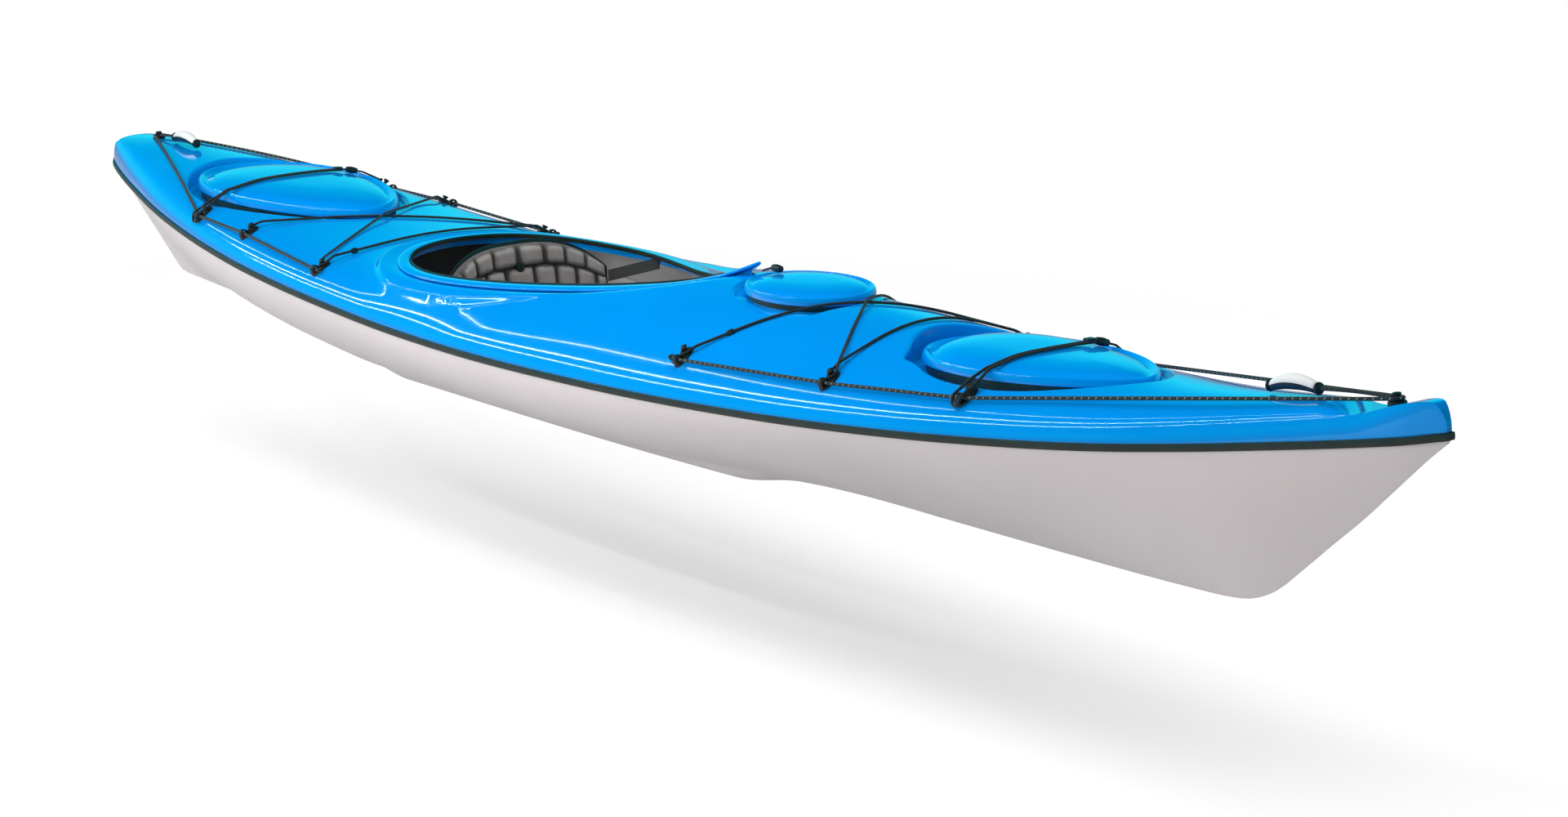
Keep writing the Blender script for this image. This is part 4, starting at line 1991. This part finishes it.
@dataclass
class Seat:
    """The hinged back with its blocked pad, the cushion, the webbing and the thigh pads."""

    finishes: Finishes
    pivot_x: float = -405
    half_width: float = 168
    top_half_width: float = 182
    bottom: float = 84
    top: float = 307
    lean: float = 26
    wing: float = 44
    turn_share: float = 0.35
    corner_drop: float = 0.3
    pad: float = 22
    groove: float = 13
    blocks: int = 8
    lines: Sequence[float] = (0.03, 0.3, 0.55, 0.785)
    edge_share: float = 0.97

    def face(self, across: Array, up: Array, front: Numbers) -> Array:
        """Returns points at a distance in front of the back's middle face.

        Args:
            across: Shares across, from -1 to 1.
            up: Shares of the height.
            front: Distances in front.

        Returns:
            The points.
        """
        width = self.half_width + (self.top_half_width - self.half_width) * up
        corners = 1 - self.corner_drop * np.abs(across) ** 3 * up
        height = self.bottom + (self.top - self.bottom) * up * corners
        x = self.pivot_x - self.lean * up + self.wing * np.abs(across) ** 2.4 + front
        y = across * (width - front * self.turn_share * np.abs(across))
        return np.stack(np.broadcast_arrays(x, y, height), -1)

    @staticmethod
    def roundness(away: Array) -> Array:
        """Returns how full a block is at distances from its edge, where the first two are groove."""
        t = np.clip((away - 1.2) / 12, 0, 1)
        return np.sqrt(1 - (1 - t) ** 2)

    def build_back(self) -> None:
        """Builds the back's shell and its pad of rounded blocks."""
        a, u = np.meshgrid(np.linspace(-1, 1, 61), np.linspace(0, 1, 31))
        edge = np.minimum(1 - np.abs(a), np.minimum(u, 1 - u) * 1.3)
        front = np.minimum(4, 2.2 + edge * 60)
        shell = slab("back_shell", self.face(a, u, front), self.face(a, u, 0), self.finishes.plastic, 55)
        hand_in(shell, "seat_back", ["seat_back_shell"])
        lugs = Shape()
        for side in (-1, 1):
            outer, inner = side * 178.5, side * 163.5
            low = (self.pivot_x - 14, min(outer, inner), 86)
            high = (self.pivot_x + 38, max(outer, inner), 114)
            lugs.add_block(low, high, 3)
        piece = lugs.piece("back_lugs", self.finishes.plastic, 50)
        hand_in(piece, "seat_back", ["seat_back_shell"])
        bottom, edge = self.lines[0], self.edge_share
        a, u = np.meshgrid(np.linspace(-edge, edge, 8 * 18 + 1), np.linspace(bottom, edge, 4 * 20 + 1))
        lines = np.array([*self.lines, edge])
        span = np.digitize(u, lines[1:-1])
        low, high = lines[span], lines[span + 1]
        shift = np.where(span % 2 == 0, 0.5, 0)
        cell = (np.sign(a) * (np.abs(a) / edge) ** 1.22 + 1) / 2 * self.blocks + shift
        side = np.minimum(cell - np.floor(cell), np.ceil(cell + 1e-9) - cell) * 42
        wide, tall = (self.half_width + self.top_half_width) / 2, self.top - self.bottom
        down = np.minimum(u - low, high - u) * tall
        pillow = self.roundness(np.maximum(side, 0)) * self.roundness(down)
        away = np.minimum((edge - np.abs(a)) * wide, np.minimum(edge - u, u - bottom) * tall)
        rim = self.roundness(away + 1.5)
        depth = (self.pad - self.groove * (1 - pillow)) * (0.4 + 0.6 * rim)
        pad = slab("back_pad", self.face(a, u, 5 + depth), self.face(a, u, 5), self.finishes.foam, 55)
        shade = pad.data.attributes.new("groove", "FLOAT", "POINT")
        shade.data.foreach_set("value", np.concatenate([1 - pillow.ravel(), np.ones(pillow.size)]))
        hand_in(pad, "seat_back", ["seat_back_pad"])
        button = Shape()
        centre = self.face(np.array(0.0), np.array(0.785), 5.0 + self.pad - 9)
        button.add_turned([(8.6, 0), (9, 6), (8.4, 8.6), (6.8, 10), (4.8, 10.3), (3.6, 8.8), (0, 8.4)],
                          Matrix.Translation(Vector(centre)) @ Matrix.Rotation(math.pi / 2, 4, "Y"))
        piece = button.piece("back_button", self.finishes.plastic, 50)
        hand_in(piece, "seat_back", ["seat_back_shell"])

    def build_cushion(self) -> None:
        """Builds the cushion: a crowned pad with drawn-in sides, a welt and sewn channels."""
        rear, front, half_width, base, thickness, crown = -372, -72, 158, 66.3, 24, 8
        apart, channel_depth = 75, 3.4
        middle, half_length = (rear + front) / 2, (front - rear) / 2
        loop = squared_oval(half_length, half_width, 0.5, full_turn(96, 0.5))
        sides = [(0.93, 0), (0.965, 0.02), (0.985, 0.12), (0.996, 0.28), (1, 0.42), (0.993, 0.5),
                 (0.985, 0.54), (0.993, 0.58), (0.998, 0.66), (0.99, 0.8), (0.972, 0.92), (0.945, 1.0)]
        rings = [at_height(loop * share + (middle, 0), base + thickness * rise) for share, rise in sides]
        for share in np.linspace(0.92, 0.06, 30):
            x, y = loop[:, 0] * share, loop[:, 1] * share
            dome = crown * (1 - share**4) * (1 - 0.35 * np.cos(y / half_width * math.pi) * (1 - share))
            sewn = np.exp(-((np.mod(x + 2 * apart, apart) - apart / 2) / 4) ** 2)
            channel = channel_depth * sewn * np.clip(1 - share**8, 0, 1)
            height = base + thickness + np.minimum(dome - channel, crown)
            rings.append(np.column_stack([middle + x, y, height]))
        piece = ring_skin("cushion", np.array(rings), self.finishes.foam, sharp=60)
        hand_in(piece, ROOT_BODY, ["seat_cushion"])

    def build_webbing(self) -> None:
        """Builds the webbing from the back's wings to the coaming."""
        wall_in = offset_loop(COCKPIT.outer, -(COCKPIT.overhang + 2))
        port = wall_in[wall_in[:, 1] >= 0]
        port = port[np.argsort(port[:, 0])]
        front_x, width, thick = -205, 22, 2.5
        front_y = float(np.interp(front_x, port[:, 0], port[:, 1])) - 2.25
        front_z = float(COCKPIT.rim_height(front_x)) - 5.5 - width / 2
        for side in Side:
            wing = self.face(np.array(side.value * 0.985), np.array(0.84), 27.0)
            front = np.array([front_x, side.value * front_y, front_z])
            profile = [(thin, high) for thin in (-1, 1) for high in (thin, thin / 2, 0, -thin / 2, -thin)]
            rings = []
            for t in np.linspace(0, 1, 41):
                twist = 0.25 * math.sin(math.pi * t) * side.value
                rings.append([wing + (front - wing) * t + (
                    0, thin * thick / 2 * math.cos(twist) - high * width / 2 * math.sin(twist) * 0.3,
                    high * width / 2) for thin, high in profile])
            name = side.name.lower()
            piece = ring_skin(f"webbing_{name}", np.array(rings), self.finishes.webbing, sharp=50)
            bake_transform(piece)
            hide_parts(f"seat_strap_{name}")

    def build_thigh_pads(self) -> None:
        """Builds the pads under the deck beside the cockpit."""
        rear, front, inner, outer = 60, 230, 150, 210
        thick, channel, rounding, under_deck = 12.6, 1.6, 9, 5.2
        for side in Side:
            x, y = np.meshgrid(np.linspace(rear, front, 41), np.linspace(inner, outer, 17))
            away = np.minimum(np.minimum(x - rear, front - x), np.minimum(y - inner, outer - y))
            rim = np.sqrt(np.maximum(1 - np.maximum(1 - away / rounding, 0) ** 2, 0))
            depth = thick * (0.3 + 0.7 * rim) - channel * np.exp(-((y - (inner + outer) / 2) / 3) ** 2)
            y = y * side.value
            top = FLARE.height(x, y) - under_deck
            name = side.name.lower()
            piece = slab(f"thigh_cushion_{name}", np.stack([x, y, top], 2), np.stack([x, y, top - depth], 2),
                         self.finishes.foam, 50)
            hand_in(piece, ROOT_BODY, [f"thigh_pad_{name}"])

    def build(self) -> None:
        """Builds the seat's soft and moulded pieces."""
        self.build_back()
        self.build_cushion()
        self.build_webbing()
        self.build_thigh_pads()


@dataclass
class Carried:
    """Solids that are shown as they are, with a finish of their own."""

    finishes: Finishes

    def build(self) -> None:
        """Gives each carried-over solid its finish."""
        black, inner = self.finishes.plastic, self.finishes.inner
        plan = {"seat_pan": black, "foot_rail": black, "pedal": black, "seat_bolt": self.finishes.bolt,
                "day_pod": inner, "bow_bulkhead": inner, "stern_bulkhead": inner}
        for name, node in frame["nodes"].items():
            for start, finish in plan.items():
                if name.startswith(start):
                    node.data.materials.clear()
                    node.data.materials.append(finish)
                    LOG.info("%s keeps its solid", name)


# Stage


@dataclass(frozen=True)
class Studio:
    """Camera, lamps, world and floor."""

    eye: tuple[float, float, float] = (6.0465, -3.6833, 1.5621)
    yaw: float = 146.49
    pitch: float = -12.18
    roll: float = -2.54
    lens: float = 4844.7 / 1920 * 36
    sky: float = 0.46
    floor_glow: float = 0.17
    floor_height: float = -250
    strip_from: float = 8

    def camera(self) -> None:
        """Puts the camera where the photograph was taken from."""
        yaw, pitch, roll = (math.radians(a) for a in (self.yaw, self.pitch, self.roll))
        forward = Vector((math.cos(yaw) * math.cos(pitch), math.sin(yaw) * math.cos(pitch), math.sin(pitch)))
        right = Vector((math.sin(yaw), -math.cos(yaw), 0))
        up = right.cross(forward)
        turned = right * math.cos(roll) + up * math.sin(roll)
        top = up * math.cos(roll) - right * math.sin(roll)
        data = bpy.data.cameras.new("camera")
        data.lens, data.sensor_width = self.lens, 36
        data.clip_start, data.clip_end = 0.1, 200
        camera = in_scene("camera", data)
        basis = Matrix((turned, top, -forward)).transposed().to_4x4()
        camera.matrix_world = Matrix.Translation(self.eye) @ basis
        bpy.context.scene.camera = camera

    def world(self) -> None:
        """Makes the sky: soft light on the boat, white for the camera, a pale blue band for reflections."""
        world = bpy.data.worlds.new("studio")
        bpy.context.scene.world = world
        world.use_nodes = True
        world.node_tree.nodes.clear()
        nodes = Nodes(world.node_tree)
        rays = nodes.add("ShaderNodeLightPath").outputs
        heading = nodes.add("ShaderNodeTexCoord").outputs["Generated"]
        up = nodes.add("ShaderNodeSeparateXYZ", Vector=heading).outputs[2]
        band = nodes.ramp(up, [(0.0, (0.1, 0.6, 0.7)), (0.14, (0.03, 0.95, 1.0)), (0.3, (0.0, 0.5, 0.6)),
                               (0.55, (0.0, 0.05, 0.07))])
        soft, shown, mirrored = (nodes.add("ShaderNodeBackground", **values).outputs[0] for values in (
            {"Strength": self.sky}, {"Strength": 1}, {"Color": band}))
        inner = nodes.fill("ShaderNodeMixShader", rays["Is Glossy Ray"], soft, mirrored)
        outer = nodes.fill("ShaderNodeMixShader", rays["Is Camera Ray"], inner, shown)
        nodes.add("ShaderNodeOutputWorld", Surface=outer)

    def lamp(self, name: str, place: Sequence[float], target: Sequence[float], size: Sequence[float],
             power: float, mirrored: bool = True) -> None:
        """Adds a soft box, or a long strip that keeps along the boat.

        Args:
            name: The lamp's name.
            place: Where it hangs.
            target: What it faces.
            size: Its width and height.
            power: Its power in watts.
            mirrored: Whether glossy surfaces show it.
        """
        data = bpy.data.lights.new(name, "AREA")
        data.shape, data.size, data.size_y, data.energy = "RECTANGLE", size[0], size[1], power
        lamp = in_scene(name, data)
        heading = Vector(target) - Vector(place)
        if size[0] > self.strip_from:
            turn = Matrix.Rotation(math.atan2(heading.y, -heading.z), 4, "X")
        else:
            turn = heading.to_track_quat("-Z", "Y").to_matrix().to_4x4()
        lamp.matrix_world = Matrix.Translation(place) @ turn
        lamp.visible_glossy = mirrored

    def floor(self) -> None:
        """Lays a white floor that keeps the boat's shadow and fades into the backdrop."""
        sketch = Sketch("floor_white", Roughness=1.0, Specular_IOR_Level=0.0)
        seen = sketch.add("ShaderNodeLightPath").outputs["Is Camera Ray"]
        pale = sketch.add("ShaderNodeMapRange", Value=seen, To_Min=0.62, To_Max=0.99)
        sketch.shine("Base Color", pale.outputs[0])
        reach = sketch.add("ShaderNodeVectorMath", operation="LENGTH", Vector=sketch.place((0.31, 0.5, 0)))
        fade = sketch.add("ShaderNodeMapRange", interpolation_type="SMOOTHSTEP", Value=reach.outputs["Value"],
                          From_Min=0.75, From_Max=1.35)
        glow = sketch.add("ShaderNodeEmission", Strength=sketch.math("MULTIPLY", seen, self.floor_glow))
        near = sketch.fill("ShaderNodeAddShader", sketch.shader.outputs[0], glow.outputs[0])
        white = sketch.add("ShaderNodeEmission").outputs[0]
        both = sketch.fill("ShaderNodeMixShader", sketch.math("MULTIPLY", fade.outputs[0], seen), near, white)
        sketch.link(both, sketch.tree.nodes["Material Output"].inputs[0])
        far, low = 60000, self.floor_height
        corners = [(-far, -far, low), (far, -far, low), (far, far, low), (-far, far, low)]
        make_piece("floor", corners, [(0, 1, 2, 3)], sketch.material)

    def build(self) -> None:
        """Builds the studio."""
        bpy.context.scene.view_settings.view_transform = "Standard"
        self.camera()
        self.world()
        self.lamp("strip_high", (-4.2, -1.35, 3.1), (-3.0, -1.0, 0), (9.5, 0.03), 16)
        self.lamp("strip_middle", (-4.8, -2.5, 3.0), (-3.0, -1.4, 0), (9.5, 0.05), 52)
        self.lamp("strip_low", (-5.6, -3.6, 2.8), (-3.0, -1.8, 0), (9.5, 0.05), 52)
        self.lamp("fill", (-1.3, -6.2, 2.3), (-0.2, 0, 0.2), (4.5, 2.2), 190, mirrored=False)
        self.lamp("overhead", (0.6, 0.1, 3.6), (0.3, 0, 0.2), (4.5, 2.2), 100, mirrored=False)
        self.floor()


def main() -> None:
    """Builds the boat from the outside in."""
    logging.basicConfig(level=logging.INFO, format="%(name)s: %(message)s")
    Studio().build()
    finishes = Finishes()
    Shells(finishes).build()
    lids = Lids(finishes)
    lids.build()
    fittings = Fittings(finishes)
    fittings.build()
    sweep = Sweep()
    Cords(finishes, fittings, sweep).build()
    Straps(finishes, fittings, sweep, lids).build()
    Grips(finishes, fittings, sweep).build()
    Seat(finishes).build()
    Carried(finishes).build()


if __name__ == "__main__":
    main()
